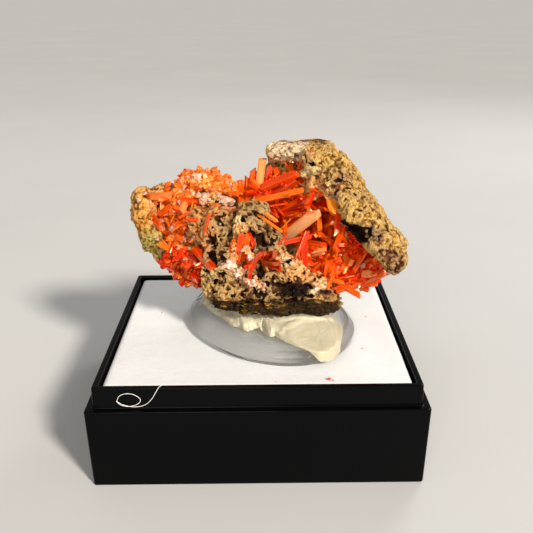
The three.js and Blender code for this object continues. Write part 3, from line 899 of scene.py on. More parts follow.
# The rock's pieces, nearest the eye the finest: name, voxel, and lowest and highest corner.
ROCK_SPLIT_X, ROCK_SPLIT_Y = 11.0, -3.0
ROCK_PIECES = [
    ("gossan_roof", 0.15, (ROCK_SPLIT_X, -16, 20), (30, 17, 56)),
    ("gossan_front", 0.135, (-28, -16, 20), (ROCK_SPLIT_X, ROCK_SPLIT_Y, 56)),
    ("gossan_back", 0.2, (-28, ROCK_SPLIT_Y, 20), (ROCK_SPLIT_X, 17, 56)),
]
ROCK_OVERLAP = 0.12              # how far its pieces reach into each other
ROCK_MARGIN = 0.8                # of a piece's grid past its corners
RELIEF_INSIDE = 1.8              # how deep under the calm surface the rock is worked,
RELIEF_OUTSIDE = 1.1             # and how far out from it
EASED_BY = 0.16                  # square of how far the relief is blurred to find crevices
CALM_BLUR = 4                    # passes that ease the frame's facets away
SOFT_JOIN = 0.8                  # how far lumps are rounded where they join


def spongy(points):
    """How much of the rock is open box-work, 0 to 1: the front ridge and the front's foot."""
    front = falloff(points, (-2, -7, 34), (9, 5, 9), 0, 2.5)
    low = falloff(points, (5, -9, 29), (9, 4, 4), 0, 2.0)
    return np.maximum(front, low)


def wander(points, spacing, seed):
    """A smooth random shift for each point, about 1 long."""
    return np.stack([smooth_noise(points / spacing, seed + axis) for axis in range(3)], -1)


def grains(points, spacing, seed):
    """Relief of close-set round grains of unequal height: about 1 on their crests."""
    first, _, pick = cell_distances(points, spacing, seed)
    return (0.35 + 1.3 * pick) * (1 - (first / (0.6 * spacing)) ** 2)


def relief(points, bend, bent):
    """How far the rock stands out: broken faces, swells, grains of three sizes, and pits."""
    patchy = np.clip(0.55 + 0.9 * smooth_noise(points / 4.5, 22), 0.1, 1.1)
    _, _, pick = cell_distances(bent, 3.9, 11)
    rear = np.clip((points[:, 1] - 2) / 3, 0, 1)
    rise = 0.16 + (0.42 + 0.25 * rear) * (pick - 0.45)
    rise -= 1.1 * rear * np.clip(rough_noise(bent, 3.4, 3, 45) - 0.16, 0, 0.5)
    rise += 0.42 * rough_noise(points, 4.6, 2, 21) + 0.34 * rough_noise(points, 1.9, 4, 24)
    rise += 0.22 * (grains(bent, 1.6, 12) - 0.4)
    rise += 0.20 * patchy * (grains(points + 0.2 * bend, 0.85, 14) - 0.35)
    rise += 0.13 * (1.3 - patchy) * (grains(points, 0.5, 13) - 0.3)
    rise -= 1.5 * np.clip(rough_noise(points + 0.4 * bend, 0.95, 2, 44) - 0.2, 0, 0.4)
    return rise


def ledges(points, bend):
    """What the broken edges of the dark layered band add to the rock's distances."""
    layered = np.clip((BAND_TOP + 0.8 - points[:, 2]) / 1.0, 0, 1)
    layered *= np.clip((-3 - points[:, 1]) / 3, 0.25, 1)
    step = points[:, 2] / 0.8 + 0.9 * bend[:, 0] + 0.25 * points[:, 0] / 3
    return layered * (0.9 * np.abs(step % 1 - 0.5) - 0.25)


def eaten(shape, base, points, bent):
    """The rock's distances with its pores, and with box-work and crumbs where it is spongy."""
    open_work = spongy(points)
    pore = rough_noise(bent, 1.5, 3, 41)
    limit = 0.33 - 0.26 * open_work
    shape = np.maximum(shape, np.minimum(1.5 * (pore - limit), base + 0.55 + 0.9 * open_work))
    first, second, pick = cell_distances(bent, 1.7, 42)
    wall = 0.5 * (second - first) - 0.20 - 0.3 * (pick > 0.45)
    shape = np.maximum(shape, np.minimum(wall + 1.5 * (open_work - 1), base + 1.1 * open_work))
    crumb, _, pick = cell_distances(points, 0.85, 43)
    crumb = crumb - 0.12 - 0.22 * pick
    return np.where(open_work > 0, np.minimum(shape, np.maximum(crumb, base + 0.1)), shape)


def weathered(points, base):
    """The rock's distances after it has broken, crumbled and been eaten into."""
    bend = wander(points, 2.1, 101)
    bent = points + 0.75 * bend
    rise = relief(points, bend, bent)
    shape = eaten(base - rise + ledges(points, bend), base, points, bent)
    kinked = points + 0.25 * bend + 0.35 * wander(points, 0.8, 111)
    for at, size, turn in ROCK_PITS:
        shape = np.maximum(shape, -0.9 * rise - ellipsoid(kinked, at, size, turn))
    return shape


def calm_rock():
    """The frame's rock with its facets eased away."""
    field = Field.of_mesh(NODES["matrix_rock"], ROCK_VOXEL)
    for at, size in ROCK_SWELLS:
        field.join(at, size, SOFT_JOIN)
    field.blur(CALM_BLUR)
    return field


def rock_piece(name, voxel, low, high, calm, material):
    """One piece of the weathered rock, between two corners."""
    low = np.maximum(low, calm.first * calm.voxel)
    high = np.minimum(high, (calm.first + calm.values.shape) * calm.voxel)
    field = Field(low, high, voxel, ROCK_MARGIN)
    field.band = BAND
    where, points = field.everywhere()
    base = in_parts(calm.sample, points)
    near = (base > -RELIEF_INSIDE) & (base < RELIEF_OUTSIDE)
    shape = np.where(base > 0, BAND, -BAND).astype(np.float32)
    shape[near] = in_parts(weathered, points[near], base[near])
    field.values[where] = np.clip(shape, -BAND, BAND)
    eased = field.copy()
    eased.blur(round(EASED_BY / voxel ** 2))
    cut = np.maximum(low - ROCK_OVERLAP - points, points - high - ROCK_OVERLAP).max(1)
    field.values[where] = np.maximum(field.values[where], cut)
    vertices, quads = field.surface()
    piece = mesh_object(name, vertices, quads)
    count = 2 * len(quads)
    if count > ROCK_TRIANGLES:
        thin = piece.modifiers.new("fewer", "DECIMATE")
        thin.ratio = ROCK_TRIANGLES / count
        evaluated(piece)
    keep_in_frame(piece)
    points = positions(piece.data)
    masks = in_parts(lambda rows: rock_masks(rows, calm, eased), points)
    for name, values in zip(ROCK_MASKS, masks.T):
        set_mask(piece, name, values)
    return finish_piece(piece, material, ["matrix_rock"])


def rock_masks(points, calm, eased):
    """What the rock's material reads at each point, in the order of ROCK_MASKS."""
    depth = calm.sample(points)
    hollow = -eased.sample(points)
    masks = {name: np.zeros(len(points)) for name in ROCK_MASKS}
    # Painted shade: how far a point lies below the calm surface, in pits and pores.
    masks["pit_shade"] = np.clip((-depth - 0.12) / 0.6, 0, 1)
    # Painted shade in crevices and a painted highlight on crests, from how far the blurred relief
    # stands off the surface.
    masks["crevice_shade"] = np.clip(hollow / 0.10, 0, 1)
    masks["crest_highlight"] = np.clip(-hollow / 0.10, 0, 1)
    masks["rear"] = np.clip((points[:, 1] - 1) / 3, 0, 1)
    strayed = points + 1.1 * np.stack(
        [rough_noise(points, 1.8, 4, 60 + axis) for axis in range(3)], -1)
    for kind, at, size, turn, soft in ROCK_ZONES:
        masks[kind] = np.maximum(masks[kind], falloff(strayed, at, size, turn, soft))
    layer = np.clip((BAND_TOP - strayed[:, 2]) / 0.5, 0, 1)
    layer *= np.clip((16 - strayed[:, 0]) / 1.5, 0, 1) * np.clip((strayed[:, 0] + 9.5) / 1.5, 0, 1)
    masks["dark_and_shade"] = np.maximum(masks["dark_and_shade"], 0.97 * layer)
    masks["streaked"] = layer * np.clip((6 - points[:, 0]) / 4, 0, 1)
    # No painted highlight on the near-black tone.
    masks["crest_highlight"] *= 1 - masks["dark_and_shade"]
    return np.stack([masks[name] for name in ROCK_MASKS], -1)


def matrix_rock():
    calm, material = calm_rock(), gossan()
    return [rock_piece(*row, calm, material) for row in ROCK_PIECES]


# ---- crocoite -------------------------------------------------------------------------

# Beds that the crystals grow on: place and size of each lump.
MAIN_BED = [
    ((9, 3, 39), (6.4, 2.3, 6.6)),
    ((2.6, 2.2, 42.6), (3.4, 2, 3)),
    ((18, -2.4, 34.4), (3.4, 1.8, 4)),
    ((13.5, -3.2, 30.4), (5, 2.4, 2.2)),
    ((19.6, -3.2, 28.6), (4, 2.2, 2.4)),
]
LEFT_BED = [
    ((-15.8, 4.8, 37.6), (3.6, 2.4, 4.4)),
    ((-15, 2.6, 34.4), (3, 2, 2.4)),
    ((-14, 3.2, 42), (3, 2.4, 2.6)),
    ((-10.4, 3.6, 45.2), (4.2, 3, 2)),
    ((-5.8, 3.2, 44.2), (2.6, 2.4, 1.6)),
]
UNDERSIDE_BED = [
    ((-15, -0.8, 31), (3.4, 1.8, 2.6)),
    ((-11.6, -2.4, 29.4), (2.8, 1.8, 3)),
]
PORE_BED = [
    ((-1.2, -6.6, 32.0), (1.0, 1.2, 1.8)),
    ((1.8, -6.6, 33.4), (1.4, 1.0, 1.4)),
    ((-2.6, -6.8, 35.4), (1.4, 1.0, 1.8)),
]

# Crystals that show one by one: foot, tip, width, paleness from deep red 0 to peach 1.
# A paleness below 0 stays deep red where the crystal's cloudy inside would lighten it.
MAIN_CRYSTALS = [
    ((4.6, 0.2, 34.6), (11.1, -6.6, 42.1), 2.2, 1.02),
    ((0.0, 2.5, 41.0), (1.2, 1.6, 49.8), 1.45, 0.85),
    ((-1.4, 2.8, 41.2), (-0.6, 2.4, 47.8), 1.0, 0.35),
    ((-1.8, 2.6, 41.4), (-1.6, 2.6, 46.3), 1.1, 0.4),
    ((-3.0, 2.4, 41.0), (-3.0, 2.2, 45.6), 1.2, 0.45),
    ((1.8, 2.8, 42.0), (2.6, 2.0, 48.6), 1.1, 0.15),
    ((-0.8, 0.0, 41.9), (8.7, -4.0, 45.2), 1.1, 0.55),
    ((0.5, 0.5, 42.6), (6.4, -3.4, 44.2), 0.9, 0.45),
    ((3.4, 1.0, 39.6), (9.7, -3.0, 44.0), 0.9, 0.3),
    ((7.7, 1.4, 41.0), (13.2, -4.0, 45.1), 0.9, 0.35),
    ((5.0, 1.6, 40.2), (9.0, -3.2, 43.2), 1.3, 0.1),
    ((-0.1, -3.6, 40.7), (4.7, -7.0, 38.2), 0.55, 0.6),
    ((0.4, -3.2, 41.6), (3.9, -5.6, 39.6), 0.7, 0.8),
    ((17.5, -0.6, 35.7), (16.0, -5.4, 29.2), 2.0, 0.55),
    ((11.6, 2.0, 35.8), (13.8, -5.0, 39.3), 0.95, 0.5),
    ((7.3, -1.0, 34.5), (12.7, -6.5, 35.2), 1.5, 0.3),
    ((8.0, -3.0, 32.7), (12.6, -7.0, 35.0), 0.8, 0.9),
    ((7.6, -2.5, 33.5), (12.0, -6.0, 35.1), 1.5, 0.4),
    ((15.2, -3.0, 26.0), (22.6, -4.0, 27.2), 1.1, 0.5),
    ((15.8, -4.4, 26.4), (24.6, -5.0, 30.2), 1.3, 0.4),
    ((20.4, -2.4, 27.0), (24.4, -4.4, 29.8), 1.3, 0.55),
    ((19.0, -1.0, 30.5), (20.9, -3.6, 34.4), 1.1, 0.5),
    ((13.0, -2.0, 45.6), (13.9, -5.8, 40.9), 1.9, 0.72),
    ((11.4, 0.8, 43.6), (11.5, -4.0, 37.6), 0.9, 0.5),
    ((10.6, 2.0, 38.2), (10.8, -4.0, 36.5), 0.7, 0.55),
    ((10.9, 2.0, 38.6), (11.6, -4.2, 36.3), 0.6, 0.6),
    ((5.1, 1.8, 35.4), (5.1, -4.0, 39.4), 0.7, 0.45),
    ((5.7, 1.6, 38.0), (7.9, -4.0, 40.5), 0.7, 0.55),
    ((5.6, 1.2, 37.0), (8.6, -3.4, 39.6), 1.6, 0.3),
    ((17.9, -2.0, 27.9), (20.9, -6.2, 30.0), 1.35, 0.95),
    ((7.4, 3.0, 46.6), (5.2, -1.0, 43.3), 1.1, 0.45),
    ((3.5, 3.2, 47.8), (4.7, 0.0, 44.2), 1.1, 0.35),
    ((8.7, 3.0, 45.8), (5.3, 0.0, 41.4), 1.1, 0.25),
    ((2.2, 3.6, 46.8), (2.5, 1.0, 43.1), 1.3, 0.2),
    ((6.3, 3.0, 48.2), (7.3, 0.0, 44.2), 1.1, 0.5),
    ((13.9, 2.6, 38.8), (16.4, -2.0, 33.1), 1.5, 0.1),
    ((21.7, -0.6, 34.4), (20.7, -3.6, 29.5), 1.8, 0.15),
    ((15.9, 0.0, 30.4), (13.4, -4.4, 35.7), 1.2, 0.3),
    ((9.2, 3.0, 34.6), (13.6, -3.0, 31.1), 1.3, 0.2),
    ((23.0, -1.0, 31.2), (17.7, -4.0, 27.1), 1.3, 0.4),
    ((24.0, -3.0, 30.6), (19.3, -4.2, 25.5), 1.15, 0.5),
    ((12.4, -1.0, 28.8), (17.5, -5.4, 31.8), 1.1, 0.45),
    ((11.4, -3.0, 28.4), (16.2, -6.2, 28.0), 0.9, 0.6),
    ((10.0, -1.0, 30.5), (11.2, -6.4, 29.7), 0.7, 0.6),
    ((13.2, 1.8, 36.0), (12.4, -3.6, 33.4), 1.0, 0.2),
    ((8.2, 2.4, 43.6), (11.4, -2.0, 40.8), 1.4, 0.05),
    ((3.8, 1.5, 38.5), (9.6, -1.5, 42.9), 2.6, 0.0),
    ((12.9, 0.5, 34.1), (14.9, -2.5, 40.6), 2.8, 0.0),
    ((10.4, 2.0, 39.0), (14.0, -1.0, 36.4), 2.4, 0.05),
    ((18.6, -1.5, 30.6), (24.7, -4.6, 30.5), 2.6, 0.05),
    ((19.7, -1.5, 32.5), (24.2, -4.4, 31.7), 2.2, 0.0),
    ((16.5, -1.6, 30.8), (18.7, -4.6, 26.3), 2.4, 0.15),
    ((15.5, -3.6, 25.9), (24.4, -5.5, 30.1), 1.4, 0.4),
    ((15.2, -2.6, 26.7), (22.3, -5.5, 27.8), 1.3, 0.35),
    ((14.7, -3.6, 27.3), (19.2, -6.0, 25.4), 1.1, 0.45),
    ((17.9, -2.0, 26.5), (21.0, -5.0, 26.2), 1.1, 0.3),
    ((21.5, -2.0, 30.9), (21.7, -5.0, 27.6), 1.9, 0.1),
    ((16.0, -1.6, 29.6), (17.3, -4.5, 27.3), 1.8, 0.2),
    ((5.1, 0.0, 39.5), (7.7, -3.5, 40.8), 0.9, 0.4),
    ((5.1, 0.0, 39.3), (5.2, -3.0, 36.8), 0.8, 0.4),
    ((1.0, 1.0, 44.4), (7.9, -1.5, 47.9), 1.5, 0.25),
    ((2.5, 1.2, 42.8), (7.2, -1.2, 46.7), 1.8, 0.1),
    ((4.3, -0.5, 36.3), (7.9, -3.4, 39.0), 1.2, 0.2),
    ((14.9, -1.0, 31.6), (13.4, -5.4, 29.2), 1.5, 0.35),
    ((8.1, 2.0, 41.8), (13.5, -2.0, 41.3), 1.9, 0.05),
    ((9.1, -3.0, 32.3), (12.3, -7.2, 34.3), 0.6, 1.0),
]
LEFT_CRYSTALS = [
    ((-20.0, 2.6, 42.5), (-11.8, 2.0, 43.4), 1.35, 0.5),
    ((-20.0, 4.0, 37.2), (-13.9, 0.8, 42.8), 1.3, 0.4),
    ((-20.6, 2.0, 43.2), (-19.0, -0.6, 43.6), 0.8, 0.6),
    ((-17.6, 5.0, 36.2), (-12.5, 0.0, 39.4), 1.1, 0.4),
    ((-16.8, 5.4, 40.0), (-16.7, 3.0, 44.1), 0.8, 0.5),
    ((-16.5, 4.0, 34.3), (-18.5, 0.0, 37.1), 0.9, 0.55),
    ((-16.9, 3.0, 33.8), (-13.6, -1.0, 32.7), 1.5, 0.45),
    ((-14.3, 3.0, 34.5), (-13.1, -2.0, 38.2), 1.3, 0.5),
    ((-20.4, 4.0, 39.2), (-21.3, 0.2, 38.3), 0.9, 0.7),
    ((-18.6, 4.6, 40.8), (-14.6, 1.2, 42.6), 1.0, 0.3),
    ((-17.4, 4.0, 41.6), (-14.6, 1.0, 41.0), 1.2, 0.1),
    ((-15.2, 4.4, 37.0), (-11.9, -0.6, 36.4), 1.2, 0.3),
    ((-15.6, 4.0, 36.2), (-14.4, -1.0, 35.0), 1.4, 0.55),
    ((-13.0, 4.6, 44.6), (-14.0, 3.6, 46.9), 1.0, 0.6),
    ((-11.1, 4.6, 44.8), (-10.6, 3.6, 47.9), 1.1, 0.7),
    ((-9.2, 4.6, 44.8), (-7.8, 3.4, 48.0), 1.1, 0.65),
    ((-7.7, 4.4, 44.0), (-5.3, 2.8, 46.4), 1.0, 0.6),
    ((-6.5, 3.0, 43.2), (-3.4, 0.6, 43.4), 1.0, 0.45),
    ((-15.3, 4.0, 42.3), (-18.0, 1.0, 42.3), 0.9, 0.5),
    ((-9.7, 3.0, 43.6), (-5.7, 1.0, 44.8), 1.0, 0.55),
    ((-5.4, 2.4, 42.9), (-2.5, 1.0, 43.7), 1.0, 0.4),
    ((-12.6, 3.6, 44.0), (-15.6, 1.8, 44.8), 1.0, 0.5),
]
# The underside's crystals: crocoite's own deep red, made deeper still as painted shade under the
# rock.
UNDERSIDE_CRYSTALS = [
    ((-14.5, 0.4, 32.0), (-13.4, -4.2, 30.6), 1.5, 0.10),
    ((-16.4, 0.4, 31.0), (-14.6, -3.4, 28.5), 1.4, 0.05),
    ((-13.9, 0.0, 31.0), (-12.4, -4.6, 29.2), 1.3, 0.15),
    ((-12.4, -1.6, 30.0), (-10.9, -3.8, 26.6), 1.1, 0.00),
    ((-15.2, -0.6, 29.4), (-12.9, -2.8, 26.4), 1.2, 0.20),
    ((-17.4, 0.4, 32.0), (-16.6, -1.8, 29.4), 1.2, 0.00),
    ((-16.6, 0.0, 32.6), (-18.0, -1.4, 30.2), 1.0, 0.15),
    ((-11.6, -2.4, 33.8), (-7.6, -8.0, 31.4), 1.5, 0.25),
    ((-13.4, -0.8, 32.6), (-10.9, -4.0, 31.6), 1.2, -0.10),
    ((-12.0, -1.8, 31.0), (-11.2, -4.6, 28.4), 1.1, -0.15),
    ((-14.6, -0.4, 30.4), (-16.0, -3.0, 29.6), 1.0, 0.30),
]
PORE_CRYSTALS = [
    ((-1.6, -7.0, 31.2), (1.0, -10.2, 35.7), 0.9, 0.25),
    ((-1.7, -8.0, 27.8), (-1.1, -10.2, 33.1), 0.8, 0.15),
    ((-3.8, -6.2, 32.3), (-2.4, -8.0, 38.7), 1.4, 0.35),
    ((-2.6, -6.2, 33.4), (-1.4, -8.2, 38.2), 1.1, 0.5),
    ((-4.9, -6.0, 34.0), (-4.0, -7.6, 37.4), 0.8, 0.4),
    ((-9.9, -3.6, 36.2), (-8.3, -6.0, 41.6), 0.6, 0.35),
    ((1.3, -7.0, 32.3), (3.4, -9.6, 35.2), 1.2, -0.2),
    ((1.2, -7.4, 33.0), (4.0, -9.8, 33.2), 1.2, -0.25),
    ((2.0, -7.4, 32.2), (4.4, -9.4, 32.0), 1.0, -0.1),
    ((-2.0, -5.6, 38.6), (-0.4, -7.0, 35.6), 0.8, 0.1),
]

# Where crystals may stand, as seen from the front: corners in x and z.
MAIN_ROOM = [(-4.2, 44.6), (-3.0, 47.0), (0.6, 50.4), (4.0, 50.2), (8.2, 49.4), (10.6, 46.4),
             (13.4, 43.0), (16.8, 37.6), (20.0, 33.6), (25.4, 31.6), (23.8, 27.8), (19.6, 26.2),
             (15.6, 25.8), (12.0, 27.2), (8.0, 31.0), (3.4, 36.0), (0.8, 40.4), (-3.4, 42.4)]
LEFT_ROOM = [(-20.6, 44.0), (-17.6, 45.2), (-15.4, 46.4), (-12.8, 47.6), (-9.6, 48.0),
             (-7.2, 47.9), (-5.6, 46.3), (-3.4, 46.2), (-3.0, 43.0), (-6.6, 41.6), (-9.6, 41.0),
             (-11.6, 38.4), (-11.0, 35.0), (-12.4, 32.6), (-17.6, 32.8), (-18.8, 36.0),
             (-20.0, 39.6)]
UNDERSIDE_ROOM = [(-18.0, 32.6), (-15.4, 33.8), (-11.0, 34.0), (-9.4, 31.0), (-9.6, 28.2),
                  (-11.4, 26.2), (-13.6, 26.4), (-16.0, 28.6)]
PORE_ROOM = [(-3.0, 39.4), (-0.6, 39.6), (1.4, 37.6), (5.0, 34.6), (4.6, 31.6), (1.6, 30.6),
             (-1.6, 30.8), (-3.0, 34.0)]

# The linings: a point that the crystals look towards, how many are tried, how far away
# their feet may be, their shortest and longest length, their least and most width for
# each millimetre of length, and their least and most paleness.
MAIN_LINING = [
    ((2.5, -2.5, 44.6), 100, 7, 1.5, 5.0, 0.15, 0.28, 0.0, 0.5),
    ((7.5, -4.5, 41.5), 130, 9, 1.5, 6.0, 0.15, 0.28, 0.0, 0.5),
    ((12.5, -6.5, 37), 160, 10, 1.5, 6.5, 0.15, 0.28, 0.0, 0.5),
    ((18.5, -7.5, 31.5), 330, 9, 1.5, 5.5, 0.18, 0.34, 0.0, 0.45),
    ((21.5, -7.5, 30), 240, 7, 1.5, 4.4, 0.2, 0.38, 0.0, 0.4),
    ((15, -8, 28.8), 260, 7, 1.0, 4.6, 0.16, 0.3, 0.05, 0.7),
    ((6, -8, 35), 90, 7, 1.0, 4.0, 0.14, 0.26, 0.2, 0.8),
    ((7, 0, 48), 110, 6, 0.8, 2.6, 0.2, 0.4, 0.1, 0.7),
    ((5, -4, 44), 70, 9, 2.0, 6.0, 0.05, 0.09, 0.2, 0.9),
    ((11, -6, 38), 90, 10, 2.0, 6.0, 0.05, 0.09, 0.2, 0.9),
    ((17, -7, 32), 60, 10, 2.0, 5.0, 0.05, 0.09, 0.2, 0.9),
]
LEFT_LINING = [
    ((-16, -2.5, 42), 170, 8, 1.0, 4.0, 0.2, 0.36, 0.15, 0.9),
    ((-16, -4, 36.5), 190, 8, 1.0, 3.4, 0.22, 0.4, 0.1, 0.8),
    ((-10, 0.5, 49), 110, 7, 0.5, 1.5, 0.5, 1.0, 0.75, 1.3),
    ((-13, -2, 47), 70, 7, 0.5, 1.6, 0.5, 1.0, 0.7, 1.3),
    ((-4, -1.5, 46), 70, 6, 0.5, 1.6, 0.35, 0.7, 0.4, 1.1),
    ((-16, -3, 39), 90, 8, 1.5, 4.0, 0.06, 0.1, 0.2, 0.8),
]
# Painted shade: the underside's lining is kept deep red.
UNDERSIDE_LINING = [
    ((-15, -6, 28), 110, 8, 0.8, 2.4, 0.4, 0.8, -0.25, 0.15),
    ((-12.5, -6.5, 30), 80, 7, 0.8, 2.4, 0.4, 0.8, -0.25, 0.2),
]
PORE_LINING = [
    ((0.6, -10.5, 33.5), 26, 4, 0.6, 1.6, 0.2, 0.4, -0.2, 0.2),
    ((-2.5, -10, 37), 22, 4, 0.6, 1.5, 0.2, 0.4, 0.1, 0.6),
]
# Crystals straight on the beds: how many are tried, then their lengths, widths and paleness
# as in the linings.
MAIN_COVER = (620, 1.0, 3.6, 0.2, 0.42, 0.0, 0.55)
LEFT_COVER = (260, 0.6, 1.8, 0.35, 0.7, 0.3, 1.1)
# Painted shade: the underside's cover is kept deep red too.
UNDERSIDE_COVER = (170, 0.7, 2.0, 0.4, 0.8, -0.25, 0.25)
PORE_COVER = (40, 0.5, 1.2, 0.3, 0.6, -0.25, 0.2)

SHOWN_PALE = 0.45                # paler than this and wider than the next,
SHOWN_WIDTH = 0.8                # a crystal is kept clear of small ones:
CLEAR_BESIDE = 0.1               # this far beside it,
CLEAR_BEHIND = 0.4               # and this far behind it
NONE_SHOWN = (np.ones((1, 3)), np.zeros((1, 3)), np.zeros(1) - 9)
TOUCHING = 0.15                  # a foot this near a wall is in it
ROOT_STEP = 0.2                  # how far a crystal's foot is drawn back at a time,
ROOT_STEPS = 10                  # and how often at most
LINING_ROOT = 0.5                # how deep a small crystal's foot is in its wall
COVER_ROOT = 0.6                 # and in its bed
UNRULY = 0.7                     # how far crystals lean from straight out of their wall
BROAD_SIDE = (0.25, -0.80, 0.55)  # the way that the larger crystals' broad sides look


def hides(shown, point):
    """Whether a point is in front of any of the crystals that are shown one by one."""
    foot, tip, half = shown
    axis, away = (tip - foot)[:, ::2], (np.array(point) - foot)[:, ::2]
    along = np.clip((axis * away).sum(1) / (axis ** 2).sum(1), 0, 1)
    gap = np.linalg.norm(away - along[:, None] * axis, axis=1)
    behind = foot[:, 1] + along * (tip - foot)[:, 1]
    return bool(((gap < half + CLEAR_BESIDE) & (point[1] < behind + CLEAR_BEHIND)).any())


def fits(place, tip, room, front, shown, slack):
    """Whether a small crystal stays in its room and clear of the crystals that are shown."""
    inside = polygon_depth(np.array([(place.x, place.z), (tip.x, tip.z)]), room)
    if inside.min() < -slack or tip.y < front:
        return False
    return not hides(shown, tip) and not hides(shown, (place + tip) / 2)


def reaches(walls, place):
    """Whether a point is in a wall or close to one."""
    for tree in walls:
        near, normal, _, gap = tree.find_nearest(place)
        if gap < TOUCHING or (place - near).dot(normal) < 0:
            return True
    return False


def rooted(foot, tip, walls):
    """A crystal's foot, drawn further back where it stops short of every wall."""
    foot, away = Vector(foot), (Vector(foot) - Vector(tip)).normalized()
    for step in range(ROOT_STEPS + 1):
        if reaches(walls, foot + away * ROOT_STEP * step):
            return foot + away * ROOT_STEP * step
    return foot


class Crystals:
    """Flat-faced prisms gathered into one mesh."""

    def __init__(self, seed):
        self.random = np.random.default_rng(seed)
        self.vertices, self.faces, self.grain, self.pale, self.edge = [], [], [], [], []
        self.rows = self.count = 0

    def prism(self, foot, tip, width, pale, flat=0.7, facing=None):
        """One crystal: a lath with bevelled edges, cleaved across or ending in a chisel.
        Its broad side looks along facing, or any way."""
        random = self.random
        foot, tip = np.asarray(foot, float), np.asarray(tip, float)
        axis = tip - foot
        length = np.linalg.norm(axis)
        axis /= length
        across = np.cross(axis, random.normal(size=3) if facing is None else facing)
        across /= np.linalg.norm(across)
        up = np.cross(axis, across)
        turn = 0 if facing is None else random.uniform(-0.5, 0.5)
        across, up = (across * math.cos(turn) + up * math.sin(turn),
                      up * math.cos(turn) - across * math.sin(turn))
        bevel = random.uniform(0.10, 0.26)
        corners = []
        for x, y, swap in ((1, -1, False), (1, 1, True), (-1, 1, False), (-1, -1, True)):
            pair = [(x * (1 - bevel), y), (x, y * (1 - bevel))]
            corners += pair[::-1] if swap else pair
        crown, keel = 1 + random.uniform(-0.12, 0.12, 2)
        corners = [*corners[:4], (0, crown), *corners[4:], (0, -keel)]
        sides = len(corners)
        outline = np.array(corners) * (width / 2, width * flat / 2)
        # The bevels' corners are marked for the painted highlight of brighter orange.
        edge = (np.array(corners)[:, 0] != 0).astype(float)
        slant = random.uniform(-0.9, 0.9, 2) * (1.0, 0.8)
        rise = np.abs(outline @ slant).max()
        if random.random() < 0.6:
            tip_scale, tip_rise = (0.93, 0.90), 0.05 * width
        else:
            tip_scale, tip_rise = (0.12, 0.80), random.uniform(0.3, 0.7) * width
        body = max(length - tip_rise - 0.5 * rise, 0.6 * length)
        wide = random.uniform(0.94, 1.0)
        rings = [((0.95, 0.95), 0.0, 0.0), ((1.0, 1.0), 0.35 * length, 0.0),
                 ((wide, wide), body, 1.0),
                 ((wide * tip_scale[0], wide * tip_scale[1]), body + tip_rise, 1.0)]
        start, rows = self.rows, []
        around = np.cumsum(np.linalg.norm(outline - np.roll(outline, 1, 0), axis=1))
        identity = self.count * 7.3
        for scale, along, lean in rings:
            flat_points = outline * scale
            height = along + lean * (flat_points @ slant)
            rows.append(foot + flat_points[:, :1] * across + flat_points[:, 1:] * up
                        + height[:, None] * axis)
            self.grain.append(np.stack([around + identity, height + identity,
                                        np.full(sides, identity)], -1))
            self.pale.append(np.full(sides, pale))
            # The tip's ring is marked too, for the painted highlight at the tip.
            self.edge.append(np.maximum(edge, 0.8 if along > body else 0.0))
        self.vertices.append(np.concatenate(rows))
        self.rows += sides * len(rings)
        for row in range(len(rings) - 1):
            for i in range(sides):
                j = (i + 1) % sides
                self.faces.append([start + row * sides + k for k in (i, j, j + sides, i + sides)])
        last = start + (len(rings) - 1) * sides
        self.faces.append([start + i for i in range(sides)][::-1])
        self.faces.append([last + i for i in range(sides)])
        self.count += 1

    def small(self, ranges, skew, narrowest, broadest):
        """A small crystal's length, width, flatness and paleness, from a row's ranges."""
        shortest, longest, slim, stout, deep, faded = ranges
        length = shortest + (longest - shortest) * self.random.random() ** skew
        width = max(narrowest, min(length * self.random.uniform(slim, stout), broadest))
        flat = self.random.uniform(0.45, 0.9)
        return length, width, flat, deep + (faded - deep) * self.random.random() ** 1.5

    def lining(self, centres, walls, room, front, shown):
        """Small crystals on the walls around each centre, looking towards it. None stands
        in front of the crystals that are shown."""
        for centre, number, reach, *ranges in centres:
            centre = Vector(centre)
            for _ in range(number):
                way = Vector(self.random.normal(size=3)).normalized()
                lean = Vector(self.random.normal(size=3)) * UNRULY
                length, width, flat, pale = self.small(ranges, 1.8, 0.15, 1.5)
                hits = [wall.ray_cast(centre, way, reach) for wall in walls]
                hits = [hit for hit in hits if hit[0] is not None]
                if not hits:
                    continue
                place, normal, _, _ = min(hits, key=lambda hit: hit[3])
                if normal.dot(way) > 0:
                    normal = -normal
                lean = (normal - 0.4 * way + lean).normalized()
                tip = place + lean * length
                if lean.dot(normal) >= 0.15 and fits(place, tip, room, front, shown, 0.1):
                    self.prism(place - lean * LINING_ROOT, tip, width, pale, flat)

    def cover(self, tree, vertices, faces, room, front, shown, row):
        """Small crystals standing on the parts of the bed that look to the front."""
        number, *ranges = row
        for pick in self.random.integers(0, len(faces), number):
            place, normal, _, _ = tree.find_nearest(Vector(vertices[faces[pick]].mean(0)))
            lean = Vector(self.random.normal(size=3)) * UNRULY
            length, width, flat, pale = self.small(ranges, 1.6, 0.2, 1.7)
            lean = (normal + lean).normalized()
            tip = place + lean * length
            faces_front = normal.y <= 0.1 and lean.dot(normal) >= 0.1
            if faces_front and fits(place, tip, room, front, shown, 0.0):
                self.prism(place - lean * COVER_ROOT, tip, width, pale, flat)

    def build(self, name):
        piece = mesh_object(name, np.concatenate(self.vertices), self.faces, smooth=False)
        set_mask(piece, "pale", np.concatenate(self.pale))
        set_mask(piece, "edge", np.concatenate(self.edge))
        layer = piece.data.attributes.new("grain", "FLOAT_VECTOR", "POINT")
        layer.data.foreach_set("vector", np.concatenate(self.grain).astype(np.float32).ravel())
        return piece


BED_VOXEL = 0.25
BED_BAND = 1.2
BED_RELIEF = 1.4                 # how far from its calm surface a bed is worked


